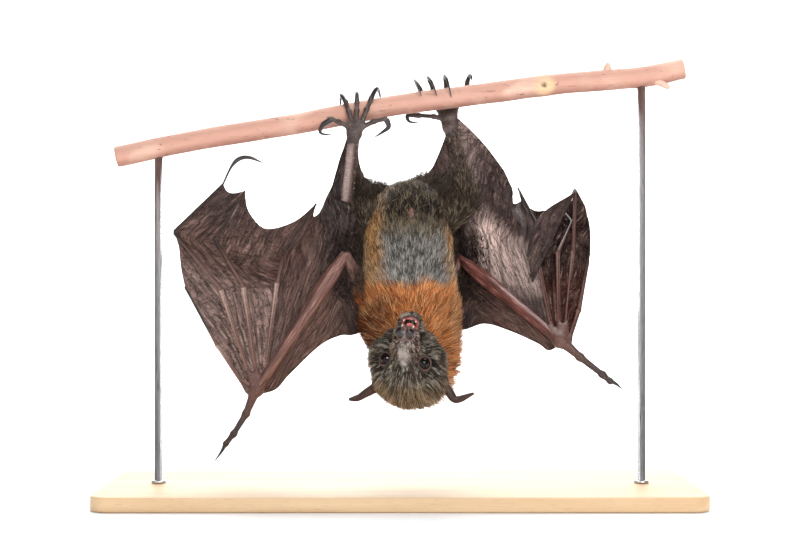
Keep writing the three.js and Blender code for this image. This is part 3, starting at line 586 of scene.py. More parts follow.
# %% Places of the left and right side
LEFT = {
    "shoulder": (-26, 12, 176), "elbow": (-52, -30, 236), "wrist": (-139, 4, 104),
    "palm": (-142.5, 1.5, 118), "knee": (-53, -6, 282), "hip": (-20, 8, 266),
    "flank": (-28, 2, 214), "thigh_side": (-24, 8, 262), "ankle": (-44, -14, 351),
    "thumb": [(-142, 4, 100), (-149.5, 2, 81), (-161, -3, 62), (-168.5, -4, 52.5)],
    "thumb_claw": [(-168.5, -4, 53.5), (-172, -5, 46), (-179, -6, 36)],
    "digit_2": [(-148, 3, 103), (-177.5, 0, 148), (-190, 2, 170), (-209, 3, 204)],
    "digit_3": [(-143, 1, 110), (-172, -12, 201.5), (-221, 8, 257.5), (-172.5, 8, 304.5)],
    "hooked_tip": [(-172.5, 8, 304.5), (-164, 6, 321.5), (-156, 5, 329), (-146, 4, 330),
                   (-134, 4, 325)],
    "digit_4": [(-137.5, 2, 111.5), (-150.5, -12, 204), (-180.5, 10, 250), (-151, 6, 297.5)],
    "digit_5": [(-132, 4, 110), (-118, -14, 208), (-112.5, 8, 240), (-81.5, 4, 285)],
    "leading_edge": [(-30, 6, 163), (-46, 3, 157.5), (-58, 0, 157), (-77.5, -2, 147.5),
                     (-107, 1, 119.5), (-120, 4, 105), (-136, 5, 99.5)],
    "trailing_edge": [(-81.5, 4, 285), (-84, 6, 273), (-76, 4, 279), (-67, -2, 298),
                      (-60, -8, 322), (-53, -12, 342), (-50.5, -13, 350)],
    "edge_45": [(-151, 6, 297.5), (-147.5, 7, 278), (-131, 9, 261), (-103, 7, 268),
                (-81.5, 4, 285)],
    "edge_34": [(-172.5, 8, 304.5), (-169, 8, 298), (-163, 7, 295.5), (-151, 6, 297.5)],
    "edge_23": [(-209, 3, 204), (-213, 5, 222), (-216, 7, 245), (-221, 8, 257.5)],
    "leg_edge": [(-40.5, -13.5, 349), (-39, -8, 323), (-30, 0, 305), (-12, 8, 300)],
    "arm_billow": (6, 10, 0), "finger_billow": (0, 9, 0), "foot": (-43.5, -16, 361),
    "foot_width": 9.5,
    "toes": [
        [(-49, -15.5, 358), (-59, -17, 362.5), (-66, -17.5, 365.5)],
        [(-46, -15.5, 361), (-49, -13.2, 373), (-52, -9, 381)],
        [(-42, -15.5, 362), (-41.5, -13.2, 374), (-41.5, -9, 382)],
        [(-37, -15.5, 361), (-32, -13.2, 375), (-28.5, -9, 384)],
        [(-36, -15.5, 358), (-25, -16.5, 363), (-14, -17, 365.5)]],
    "claws": [
        [(-66, -17.5, 365), (-74, -17.5, 359.5), (-76, -16.5, 352), (-64, -14, 350)],
        [(-52, -8.5, 382), (-56.5, -1, 389.5), (-58, 7, 386), (-58, 12.5, 378)],
        [(-41.5, -8.5, 383), (-41.7, -1, 392), (-42, 7, 389), (-42, 13, 381)],
        [(-28.5, -8.5, 385), (-23, -1, 396), (-20, 8, 393), (-19, 13.5, 384)],
        [(-13, -17, 365), (-11, -16, 358), (-17, -14, 353), (-25, -12, 348)]],
}
RIGHT = {
    "shoulder": (36, 14, 176), "elbow": (59.5, 20, 232), "wrist": (146, -88, 156),
    "palm": (150, -77, 168), "knee": (68, 2, 286), "hip": (36, 8, 266),
    "flank": (42, 6, 214), "thigh_side": (38, 10, 262), "ankle": (49, 12, 359),
    "thumb": [(151, -88, 153), (164, -90, 141.5), (184.5, -91, 125.5), (191.5, -91, 119.5)],
    "thumb_claw": [(191, -91, 120), (197, -91, 117), (202.5, -91, 112)],
    "digit_2": [(155, -85, 156.5), (166, -66, 183), (179, -28, 228.5), (181.5, -14, 243)],
    "digit_3": [(151.5, -82, 161.5), (165.5, -22, 238), (172.5, 20, 300.5), (147.5, -10, 253.5),
                (125, -40, 210)],
    "digit_4": [(146, -80.5, 162.5), (151, -22, 237), (169.5, 22, 268), (161.5, 60, 284)],
    "digit_5": [(140.5, -82, 161), (131.5, -15, 235), (133, 12, 267.5), (117.5, 40, 302)],
    "leading_edge": [(46, 6, 165), (62, 3, 162.5), (81.5, -15, 169), (104, -42, 163),
                     (127, -70, 153), (136, -80, 147), (145, -87, 151.5)],
    "trailing_edge": [(117.5, 40, 302), (119.5, 34, 289), (111.5, 28, 287), (111, 27, 299),
                      (101, 22, 320), (80, 18, 347), (57, 13, 369)],
    "edge_45": [(161.5, 60, 284), (150, 58, 280.5), (135, 50, 280), (123, 43, 287),
                (117.5, 40, 302)],
    "edge_34": [(172.5, 20, 300.5), (171, 34, 290), (167, 48, 284), (161.5, 60, 284)],
    "edge_23": [(181.5, -14, 243), (183.5, 0, 262), (181, 12, 282), (172.5, 20, 300.5)],
    "leg_edge": [(46, 12.5, 356), (36, 12, 330), (27, 11, 315), (8, 9, 305)],
    "arm_billow": (-8, -12, 8), "finger_billow": (8, 0, 0), "foot": (47, 16, 379),
    "foot_width": 11,
    "toes": [
        [(44, 16, 368), (33, 15.5, 371), (19, 15, 372)],
        [(41, 16.5, 374), (29, 14.5, 386), (20, 8.5, 395)],
        [(45, 16.5, 376), (37, 14.5, 388), (32, 8.5, 397.5)],
        [(49, 16.5, 377), (47, 14.5, 390), (45, 8.5, 399.5)],
        [(53, 16.5, 375), (61, 14.5, 390), (65.5, 8.5, 402.5)]],
    "claws": [
        [(19, 15, 372), (8, 14, 372), (9, 13, 366), (20, 12, 364)],
        [(20, 8, 396), (15, 1, 404), (17, -10, 399), (20.5, -12, 388)],
        [(32, 8, 398.5), (27.5, 1, 407), (31, -10, 401), (35.5, -12.5, 388)],
        [(45, 8, 400.5), (43.5, 1, 408.5), (46, -10, 402), (49.5, -12.5, 387)],
        [(65.5, 8, 403.5), (67.5, 3, 409), (69, -4, 408), (69, -9.5, 403)]],
}
SIDES = {"left": LEFT, "right": RIGHT}

# Cross sections through the coat's tips: height, middle in X, half width, front and back in Y.
BODY_SECTIONS = np.array([
    (93, 15, 10, 0, 7), (98, 16, 25, -4, 12), (110, 15.5, 37, -11, 19), (126, 15, 44, -17, 26),
    (144, 15, 46.5, -22, 31), (162, 10, 51.5, -25, 36), (182, 9.5, 52.5, -30, 40),
    (199, 8, 50, -34, 41), (222, 7, 48, -38, 43), (250, 7, 46, -36, 42), (272, 7, 41, -30, 38),
    (287, 8, 33, -21, 32), (297, 9, 22, -12, 24), (302, 9, 8, -4, 14)])

# %% [markdown]
# The head has a frame of its own: sideways (+ is the animal's right), forward to the nose,
# and up to the crown. Hanging upside down and looking at the viewer, it is pitched up from
# the chest, turned a little and tipped a little.

# %% The head's own axes
HEAD_CENTRE = np.array([5.9, -31, 126.8])
HEAD_PITCH, HEAD_TURN, HEAD_ROLL = np.radians([40, 7.5, 6])


def turn_about(axis, angle):
    """Rotation about X, Y or Z (0, 1, 2) by the right-hand rule."""
    u, v = (axis + 1) % 3, (axis + 2) % 3
    turn = np.eye(3)
    turn[u, u] = turn[v, v] = np.cos(angle)
    turn[u, v], turn[v, u] = -np.sin(angle), np.sin(angle)
    return turn


HEAD_TURNED = (turn_about(1, HEAD_ROLL) @ turn_about(2, -HEAD_TURN) @ turn_about(0, -HEAD_PITCH)
               @ np.diag([1.0, -1.0, -1.0]))


def on_head(places):
    """Places or shapes in the head's frame, moved to where the head hangs."""
    return np.asarray(places, float) @ HEAD_TURNED.T + HEAD_CENTRE


def in_head(points):
    """Points in space, as sideways, forward and up on the head."""
    return (np.asarray(points, float) - HEAD_CENTRE) @ HEAD_TURNED


print("the nose points along", np.round(HEAD_TURNED[:, 1], 2))

# %% [markdown]
# ## Trunk, thighs and the lie of the coat
#
# Under the coat the trunk is a plain barrel. Nobody sees it, but it decides where the hair
# stands, so its shape matters more than its finish. Its cross sections are those of the
# coat's tips, drawn in by the length of the hair. The markings are one function of place,
# which colours the skin here and the hair later.

# %% Markings of the body
COLLAR_TOP = 203
SILVER, FLANK, GROIN = colour(158, 154, 148), colour(255, 182, 112), colour(46, 38, 33)
RUMP, BACK, CHEST = colour(92, 78, 66), colour(112, 100, 88), colour(140, 128, 112)
MANTLE, MANTLE_DARK, MANTLE_PALE = colour(236, 150, 90), colour(98, 42, 24), colour(236, 192, 150)


def body_fur(points):
    """Colour of the hair's tips: a ginger collar below COLLAR_TOP, silver on the belly, ochre
    on the flanks, olive above, and dark brown between the legs and on the back."""
    x, y, z = np.moveaxis(np.asarray(points, float), -1, 0)
    ragged = waves(x / 6, z / 6 + y / 8, 3) * 4
    side = np.abs(x - 13 + ragged) / 47
    front = soft_step(-y + ragged, -14, 8)
    tone = mix(SILVER, CHEST, soft_step(z + 1.6 * ragged, 238, 256))
    ochre = soft_step(side + 0.1 * waves(x / 3, z / 5, 12), 0.42, 0.74)
    tone = mix(tone, FLANK, ochre * (0.6 + 0.4 * waves(x / 4, z / 8, 13)).clip(0, 1))
    tone = mix(BACK, tone, front)
    tone = mix(tone, RUMP, soft_step(z + 1.5 * ragged, 256, 278))
    between_legs = soft_step(30 - np.abs(x - 11) + ragged, 0, 12) * soft_step(298 - z, 0, 8)
    tone = mix(tone, GROIN, soft_step(z + ragged, 258, 272) * between_legs)
    collar = mix(MANTLE, MANTLE_PALE, soft_step(118 - z + ragged, -4, 10))
    near = 60 - np.hypot(x - 9, (z - 136) * 0.95) + ragged
    collar = mix(collar, MANTLE_DARK, soft_step(near, 0, 16) * soft_step(z, 118, 136)
                 * soft_step(np.abs(x - 9) + ragged, 8, 22) * (0.85 - 0.6 * soft_step(x, 0, 24)))
    collar = mix(collar, MANTLE_DARK, soft_step(-x, 18, 30) * soft_step(z, 126, 140) * 0.6)
    collar = mix(collar, MANTLE_PALE, soft_step(x + ragged, 34, 54) * 0.5)
    collar = mix(collar, MANTLE_DARK, soft_step(y, 14, 34) * 0.45)
    return mix(tone, collar, soft_step(COLLAR_TOP - z + ragged, -3, 6))


# %% The trunk
def trunk_shell():
    """Ovals x = middle + (half width - coat) cos a, y = centre + (half depth - coat) sin a."""
    rings, around = 58, 56
    t = np.linspace(0.07, 0.965, rings)
    height, middle, half, front, back = smooth(BODY_SECTIONS, t).T
    coat = np.interp(height, [100, 130, 190, 215, 300], [12, 13, 11, 6.5, 6])
    coat = np.minimum(coat, 0.5 * np.minimum(half, (back - front) / 2))
    angle = np.arange(around) * 2 * np.pi / around
    x = middle[:, None] + (half - coat)[:, None] * np.cos(angle)
    y = ((front + back) / 2)[:, None] + ((back - front) / 2 - coat)[:, None] * np.sin(angle)
    ring = np.stack(np.broadcast_arrays(x, y, height[:, None]), axis=-1)
    ends = np.stack([ring[0].mean(axis=0) - [0, 0, 2], ring[-1].mean(axis=0) + [0, 0, 2]])
    points = np.concatenate([ring.reshape(-1, 3), ends])
    lay = np.stack(np.broadcast_arrays(angle * 30, height[:, None], 0.0), axis=-1).reshape(-1, 3)
    return shell(points, ring_faces(rings, around), body_fur(points) * 0.3, "undercoat",
                 np.concatenate([lay, lay[:2]]))


def bare_fold():
    """A small egg of bare pink skin in the groin: radius 3.2 sqrt(1 - t^2)."""
    t = np.linspace(-0.98, 0.98, 16)
    path = np.stack([10.7 + 0 * t, -25.5 - 1.5 * t, 273 + 7 * t], axis=1)
    return tube(path, 3.2 * np.sqrt(1 - t**2), 16, colour(112, 76, 68), "limb")


trunk = trunk_shell()
print("trunk under the coat:", np.round(np.ptp(trunk["points"], axis=0), 1), "mm")

# %% [markdown]
# ## Wings
#
# Each wing is panels of skin between the finger bones, one panel from the little finger to
# the flank and leg, one in front of the arm and one between the leg and the tail. A panel is
# a Coons patch: it is stretched between its four edges. The wings are half folded, so the
# skin is slack. It falls in pleats that run along the fingers, so a pleat is a wave across
# the panel which dies away at the bones and at the free edge.

# %% Panels of skin
WING_BROWN, WING_PALE = colour(104, 76, 67), colour(132, 108, 101)
# WING_SHADE_AND_TIP is near-black brown: painted shade in the armpit, beside the flank and between the
# folded fingers, and the tone of the outer finger bones.
WING_DARK, WING_SHADE_AND_TIP = colour(72, 52, 47), colour(50, 36, 33)
# WING_SHEEN_PINK is a painted highlight: the sheen on the right wing's bulge.
WING_GREY, WING_SHEEN_PINK = colour(158, 135, 128), colour(228, 198, 188)
SKIN_HALF = 0.35


def patch(first, last, near, far):
    """The mean of the two ruled surfaces between opposite edges, doubled, less the flat one
    through the four corners."""
    def place(u, v):
        zero, one = np.zeros_like(u), np.ones_like(u)
        a, b = u[..., None], v[..., None]
        ruled = first(v) * (1 - a) + last(v) * a + near(u) * (1 - b) + far(u) * b
        corners = (near(zero) * (1 - a) * (1 - b) + near(one) * a * (1 - b)
                   + far(zero) * (1 - a) * b + far(one) * a * b)
        return ruled - corners
    return place


def panel(place, across, along, billow=(0, 0, 0), *, pleats, depth, seed, tint, finish="wing"):
    """A panel of wing skin. Pleats are sin(2 pi n u) with a wandering phase, times a window
    4u(1-u) to the power 0.6 that closes them at both bones. Painted light and shade follow the
    pleats, and painted shade darkens the skin near the bones."""
    u, v = np.meshgrid(np.linspace(0, 1, across), np.linspace(0, 1, along), indexing="ij")
    grid = place(u, v) + np.asarray(billow) * (8 * u * (1 - u) * v * (1 - v))[..., None]
    window = (4 * u * (1 - u)) ** 0.6 * soft_step(v, 0, 0.12) * (1 - 0.8 * soft_step(v, 0.9, 1))
    wander = waves(u * 3, v * 5, seed) * 0.9
    pleat = (np.sin(2 * np.pi * pleats * u + wander * 2.2 + v * 1.5)
             + 0.5 * np.sin(2 * np.pi * pleats * 2.3 * u + wander * 3.1 + seed))
    cockle = waves(u * 6, v * 16, seed + 40)
    normal = unit(np.cross(np.gradient(grid, axis=0), np.gradient(grid, axis=1)))
    grid = grid + normal * (window * (depth * pleat + 0.35 * depth * cockle))[..., None]
    tone = tint(grid) if callable(tint) else np.broadcast_to(tint, grid.shape)
    # The pleat term is painted light and shade that follows the pleats; the waves are a random mottle.
    shade = 1 + 0.16 * waves(u * 9, v * 7, seed + 9) + 0.16 * pleat * window
    # Painted shade: the skin darkens to 0.55 beside the bones.
    shade = shade * (0.55 + 0.45 * soft_step(np.minimum(u, 1 - u), 0, 0.1))
    one = sheet(grid, SKIN_HALF, tone * shade[..., None], finish)
    one["lay"] = one["lay"] + [31.0 * seed, 0, 0]
    return one


def finger_panel(one_digit, next_digit, edge, billow, **options):
    """Skin between two digits, out to a free edge."""
    return panel(patch(lambda v: straight(one_digit, v), lambda v: straight(next_digit, v),
                       lambda u: straight([one_digit[0], next_digit[0]], u),
                       lambda u: smooth(edge, u)), 22, 50, billow, **options)


# %% The panels of both wings
def toward(first, second, share):
    """The place that far from the first place to the second."""
    return tuple(np.array(first) + (np.array(second) - np.array(first)) * share)


def arm_panel(limbs, **options):
    """Skin from the little finger to the flank, thigh and knee."""
    body_side = [limbs["flank"], limbs["thigh_side"], limbs["knee"], limbs["ankle"],
                 limbs["trailing_edge"][-1]]
    arm_side = [limbs["digit_5"][0], limbs["elbow"],
                toward(limbs["elbow"], limbs["shoulder"], 0.3), limbs["flank"]]
    surface = patch(lambda v: straight(limbs["digit_5"], v), lambda v: by_length(body_side, v),
                    lambda u: by_length(arm_side, u), lambda u: smooth(limbs["trailing_edge"], u))
    return panel(surface, 48, 52, limbs["arm_billow"], **options)


def between(path, edge, **options):
    """Skin ruled from a bone's line to a free edge."""
    def surface(u, v):
        return path(v) * (1 - u)[..., None] + smooth(edge, v) * u[..., None]
    return panel(surface, 14, 54, **options)


def left_arm_tint(place):
    """Brown, greyer near the forearm, and nearly black with painted shade where it meets the hairy
    flank.
    """
    x, z = place[..., 0], place[..., 2]
    forearm = soft_step(210 - z + 12 * waves(x / 14, z / 14, 6), 0, 60)
    tone = mix(WING_BROWN, WING_PALE * 0.85, forearm * 0.7)
    # Painted shade: nearly black near the flank.
    return mix(tone, WING_SHADE_AND_TIP * 0.2, soft_step(x + 12 * waves(x / 20, z / 20, 3), -90, -66))


def right_arm_tint(place):
    """A painted sheen: a pale pinkish grey highlight on the bulge behind the forearm, and darker skin
    round it.
    """
    x, z = place[..., 0], place[..., 2]
    ragged = 0.16 * waves(x / 9, z / 9, 6)
    bulge = np.hypot((x - 100 - 0.45 * (236 - z)) / 30, (z - 236) / 50) + ragged
    # Painted highlight: the sheen is palest at the middle of the bulge.
    tone = mix(WING_SHEEN_PINK, WING_GREY * 0.8, soft_step(bulge, 0.35, 0.85))
    tone = mix(tone, WING_DARK * 0.7, soft_step(bulge + 0.25 * soft_step(205 - z, 0, 30), 0.8, 1.1))
    beside_shin = soft_step(z + 30 * ragged, 285, 310) * soft_step(90 - x, 0, 30)
    return mix(tone, WING_GREY * 0.8, beside_shin)


def left_hand_tint(place):
    """Greyer near the wrist, then brown, and dark toward the tips of the fingers."""
    x, z = place[..., 0], place[..., 2]
    tone = mix(WING_PALE * 1.2, WING_BROWN, soft_step(z + 16 * waves(x / 16, z / 16, 2), 190, 236))
    return mix(tone, WING_DARK * 0.8, soft_step(z + 10 * waves(x / 9, z / 12, 4), 240, 286))


def right_hand_tint(place):
    """Dark reddish brown, with painted shade that makes it almost black between the folded fingers."""
    x, z = place[..., 0], place[..., 2]
    outward = soft_step(z + 14 * waves(x / 10, z / 14, 5), 200, 245)
    # Painted shade: the outer part, between the folded fingers, goes to near black.
    return mix(colour(92, 54, 46), WING_SHADE_AND_TIP * 0.6, outward) * 0.6


def before_arm_tint(place):
    """Almost black with painted shade in the armpit, and brown further out."""
    x, z = place[..., 0], place[..., 2]
    outward = soft_step(np.abs(x - 8) + 8 * waves(x / 9, z / 9, 5), 56, 86)
    # Painted shade: near black close to the body.
    return mix(WING_SHADE_AND_TIP * 0.6, WING_BROWN * 1.15, outward)


def wing_panels(name, limbs):
    """All panels of one side: arm, in front of the arm, leg, and three between the fingers."""
    left = name == "left"
    arm = [limbs["shoulder"], limbs["elbow"], limbs["wrist"]]
    root, knuckle, bend = limbs["digit_3"][:3]
    spread = limbs["digit_3"] if left else [root, knuckle, toward(knuckle, bend, 0.5), bend]
    leg = [toward(limbs["ankle"], limbs["knee"], 0.08), limbs["knee"], limbs["hip"]]
    hand = {"tint": left_hand_tint if left else right_hand_tint,
            "finish": "wing" if left else "folded_wing"}
    return [
        arm_panel(limbs, pleats=7, depth=1.7 if left else 2.2, seed=2 + left,
                  tint=left_arm_tint if left else right_arm_tint),
        between(lambda v: by_length(arm, v), limbs["leading_edge"], pleats=2, depth=0.8,
                seed=4 + left, tint=before_arm_tint),
        between(lambda v: straight(leg, v), limbs["leg_edge"], pleats=3, depth=0.7, seed=6 + left,
                tint=WING_DARK),
        finger_panel(limbs["digit_4"], limbs["digit_5"], limbs["edge_45"], limbs["finger_billow"],
                     pleats=4, depth=1.5, seed=8 + left, **hand),
        finger_panel(spread, limbs["digit_4"], limbs["edge_34"],
                     np.array(limbs["finger_billow"]) * (1 if left else 0.3), pleats=4,
                     depth=1.2 if left else 0.5, seed=10 + left, **hand),
        finger_panel(limbs["digit_2"], [root, knuckle, bend], limbs["edge_23"],
                     limbs["finger_billow"], pleats=4, depth=1.3, seed=12 + left, **hand),
    ]


def folded_tip():
    """The long tip of the right wing is doubled back, with a narrow strip of dark skin."""
    fold, middle, tip = (np.array(place, float) for place in RIGHT["digit_3"][2:])
    inner = [fold, middle, tip]
    outer = [fold + (-1, -5, -4), (136, -12, 274), (122, -24, 242), tip + (-1, -3, 4)]

    def strip(u, v):
        return smooth(inner, v) * (1 - u)[..., None] + smooth(outer, v) * u[..., None]

    return panel(strip, 16, 44, pleats=2, depth=0.6, seed=14, tint=WING_DARK * 0.75)


left_wing, right_wing = (wing_panels(name, limbs) for name, limbs in SIDES.items())
wings = left_wing + right_wing + [folded_tip()]
print("wing skin:", len(wings), "panels")

# %% [markdown]
# ## Bones of arm and hand, seen through their skin
#
# In a bat's wing the skin is shrunk over the bones like wet cloth, so a finger is a thin tube
# which swells at each joint. The forearm carries a few long tendons, so its radius is a
# little uneven round its ring. The wrist and the thumb are short and lumpy: they are clay.

# %% Fingers and arm bones
BONE_SKIN, ARM_SKIN, JOINT_SKIN = colour(122, 90, 81), colour(122, 82, 72), colour(190, 162, 151)
FOLDED_BONE, FOLDED_ARM = colour(92, 56, 47), colour(124, 72, 64)


def finger(bones, seed, hooked, tint, knuckle):
    """A long first bone with its tendon beside it, the thicker of the two lit with a painted highlight
    and the thinner darkened with painted shade, then thinner bones that darken outwards.
    Each swells at its joints, as a high power of 2s - 1 at the share s of its length."""
    end_tint = WING_SHADE_AND_TIP * 0.6
    t = np.linspace(0, 1, 40)
    first = straight(bones[:2], t)
    ahead = unit(np.array(bones[1], float) - np.array(bones[0], float))
    beside = unit(np.cross(ahead, [0, 1.0, 0])) * 0.95
    pale = soft_step(t, 0.45, 0.97)
    joint = mix(tint, JOINT_SKIN, knuckle)
    tone = mix(tint * (1 + 0.12 * waves(t * 9, t, seed))[:, None], joint, pale)
    radius = 1.05 + 0.7 * (2 * t - 1) ** 10
    # Painted highlight and shade: the thicker ridge is lit to 1.1 of the tone, the thinner darkened to
    # 0.7.
    parts = [tube(first + beside * way, radius * (1 if way > 0 else 0.8), 8,
                  tone * (0.9 + 0.2 * way), "limb") for way in (-1, 1)]
    t = np.linspace(0, 1, 18 * (len(bones) - 2))
    within = (t * (len(bones) - 2)) % 1
    radius = 2.0 - 0.9 * t**0.7 + 0.5 * (1 - t) * (2 * within - 1) ** 8
    tone = mix(mix(tint, end_tint, np.full(len(t), 0.3)), end_tint, soft_step(t, 0.15, 0.5))
    parts.append(tube(straight(bones[1:], t), radius, 8, tone, "limb"))
    if hooked:
        s = np.linspace(0, 1, 22)
        parts.append(tube(smooth(hooked, s), values([1, 1.2, 2.3, 2.3, 1.8, 0.5], s), 10,
                          colour(34, 26, 26), "claw"))
    return parts


def arm_bone(start, end, radii, tint, seed, bow=(0, 0, 0)):
    """A long bone with tendons: the radius is scaled by 1 + 0.07 sin 3a + 0.05 sin 5a."""
    rings, around = 60, 18
    t = np.linspace(0, 1, rings)
    path = straight([start, end], t) + np.asarray(bow) * (4 * t * (1 - t))[:, None]
    one = tube(path, values(radii, t), around, tint, "arm")
    angle = np.tile(np.arange(around) * 2 * np.pi / around, rings)
    middle = np.repeat(path, around, axis=0)
    swell = 1 + 0.07 * np.sin(3 * angle + seed) + 0.05 * np.sin(5 * angle + 2 * seed)
    one["points"][:-2] = middle + (one["points"][:-2] - middle) * swell[:, None]
    return one


# %% Wrist and thumb in clay
def hand_clay(limbs):
    """Wrist, palm and thumb of one side: rods and eggs melted together, in place."""
    wrist, palm = np.array(limbs["wrist"], float), np.array(limbs["palm"], float)
    thumb = [np.array(place, float) for place in limbs["thumb"]]
    arm_end = np.array(toward(wrist, limbs["elbow"], 0.12))
    places = np.array([wrist, palm, arm_end, *thumb])
    clay = Clay(places.min(axis=0) - 12, places.max(axis=0) + 12, 1.1)
    clay.limb(arm_end, wrist, 4.6, 5.2, 3)
    clay.egg(wrist, (6.4, 5.6, 6.0), 4)
    clay.limb(wrist, palm, 5.2, 3.6, 4)
    for digit in ("digit_2", "digit_3", "digit_4", "digit_5"):
        root = limbs[digit][0]
        clay.limb(root, toward(root, limbs[digit][1], 0.14), 2.9, 2.1, 3)
    radii = [5.0, 3.3, 2.7, 2.6]
    for k in range(3):
        clay.limb(thumb[k], thumb[k + 1], radii[k], radii[k + 1], 2.5)
    for k, size in ((1, 3.9), (2, 3.4), (3, 3.0)):
        clay.egg(thumb[k], (size, size, size), 2)
    points, faces = clay.surface()
    nearest = np.linalg.norm(points - thumb[-1], axis=1)
    tint = mix(colour(50, 38, 36), ARM_SKIN * 0.55, soft_step(nearest, 16, 56))
    mottled = 1 + 0.12 * waves(points[:, 0] / 4, points[:, 2] / 4, 5)
    return shell(points, [faces], tint * mottled[:, None], "limb", points)


def arms(limbs, seed):
    """Upper arm, forearm, hand and fingers of one side."""
    skin = ARM_SKIN if limbs is LEFT else FOLDED_ARM
    finger_tint, knuckle = (BONE_SKIN, 0.6) if limbs is LEFT else (FOLDED_BONE, 0.15)
    parts = [arm_bone(limbs["shoulder"], limbs["elbow"], [10, 9, 6.2, 4.4], skin * 0.7, seed),
             arm_bone(limbs["elbow"], limbs["wrist"], [4.4, 6.8, 7.2, 6.4, 5.4, 4.8, 4.4, 4.9],
                      skin, seed + 1, (0, -1.2, 0)),
             hand_clay(limbs)]
    for number in (2, 3, 4, 5):
        hooked = limbs.get("hooked_tip") if number == 3 else None
        parts += finger(limbs[f"digit_{number}"], seed + number, hooked, finger_tint, knuckle)
    return parts


left_arm, right_arm = arms(LEFT, 1), arms(RIGHT, 7)
print("arms and fingers:", len(left_arm) + len(right_arm), "shells")

# %% [markdown]
# ## Legs and feet
#
# A flying fox's leg is thin and turned outwards, so the sole faces the belly side. Five toes
# of equal length hook over the branch. The weight of the hanging animal pulls the tendons
# tight, so it needs no strength to hold on. The foot is clay again, with a bead at each
# toe joint.

# %% Legs and feet
FOOT_SKIN, SHIN_SKIN = colour(66, 54, 51), colour(160, 138, 133)


def foot_clay(limbs):
    """Heel, sole and five toes of one side."""
    ankle, ball = np.array(limbs["ankle"], float), np.array(limbs["foot"], float)
    toes = [np.array(toe, float) for toe in limbs["toes"]]
    places = np.concatenate([[ankle, ball], *toes])
    clay = Clay(places.min(axis=0) - 10, places.max(axis=0) + 10, 0.95)
    clay.limb(toward(ankle, limbs["knee"], 0.2), ankle, 5.6, 6.2, 3)
    wide = limbs["foot_width"] - 3.5
    for way in (-1, 0, 1):
        side = ball + np.array([way * wide * 0.8, 0, -1.0])
        clay.limb(ankle + np.array([way * 3.4, 0, 0]), side, 4.2, 3.7, 3)
    for toe in toes:
        clay.limb(toward(ankle, toe[0], 0.35), toe[0], 2.6, 2.8, 2)
        clay.limb(toe[0], toe[1], 2.6, 2.3, 1.5)
        clay.limb(toe[1], toe[2], 2.2, 2.1, 1.5)
        clay.egg(toe[1], (2.8, 2.8, 2.8), 1)
        clay.egg(toe[2], (2.7, 2.7, 2.7), 1)
    points, faces = clay.surface()
    mottled = 0.5 + 0.5 * waves(points[:, 0] / 3, points[:, 2] / 3, 4)
    tint = mix(FOOT_SKIN * 0.55, colour(86, 72, 68), mottled)
    return shell(points, [faces], tint, "limb", points)


def leg(limbs):
    """Thigh and shin; on the left the shin's outer side is bare and pale up to the knee."""
    rings, around = 30, 20
    left = limbs is LEFT
    t = np.linspace(0, 1, rings)
    bare = soft_step(t, 0.7, 0.95) * (1.0 if left else 0.0)
    thigh = tube(straight([limbs["hip"], limbs["knee"]], t), values([10, 9.5, 8, 6], t), around,
                 mix(RUMP * 0.35, SHIN_SKIN * 0.6, bare), "undercoat")
    shin_path = straight([limbs["knee"], limbs["ankle"]], t)
    shin = tube(shin_path, values([6.4, 6.2, 5.8, 5.5, 5.6], t), around, SHIN_SKIN, "limb")
    turn = np.append(np.tile(np.cos(np.arange(around) * 2 * np.pi / around), rings), [0, 0])
    outer = soft_step(-turn if left else turn, -0.6, 0.2)
    down = np.append(np.repeat(soft_step(t, 0.7, 1.0), around), [0, 1])
    bare_side = mix(WING_DARK, SHIN_SKIN if left else WING_BROWN, outer)
    shin["tint"] = mix(bare_side, FOOT_SKIN, down)
    return [thigh, shin, foot_clay(limbs)]


left_leg, right_leg = leg(LEFT), leg(RIGHT)
print("each foot has", len(left_leg[2]["points"]), "and", len(right_leg[2]["points"]), "points")

# %% [markdown]
# ## The head
#
# A flying fox has a dog's face: a long narrow muzzle, large round eyes that look forward and
# outward, and a nose pad of two lobes. The head gets more clay and more care than any other
# piece. Lumps give the skull, brows, cheeks and whisker pads. Cuts give the eye openings, the
# nostrils, the groove under the nose and the open mouth. Lids are a thin shell of clay over
# the eyeball with a round cut in it, so the ball sits in the head as a real one does.

# %% Clay of the head
EYE_RADIUS = 6.8
EYES = {way: np.array([side * 16.8, 16.5, 4.0]) for way, side in (("left", -1), ("right", 1))}
GAZE = {way: unit(np.array([side * 0.5, 0.75, 0.4])) for way, side in (("left", -1), ("right", 1))}


def hoop(clay, centre, axis, ring, thick, soft, cut=False):
    """A ring: distance to a circle round an axis, less the ring's own radius."""
    centre, axis = np.array(centre, np.float32), np.array(axis, np.float32)
    block, place = clay.part(centre - ring, centre + ring, thick + 4)
    height = (place - centre) @ axis
    out = np.linalg.norm(place - centre - height[..., None] * axis, axis=-1)
    clay.join(block, np.hypot(out - ring, height) - thick, soft, cut)


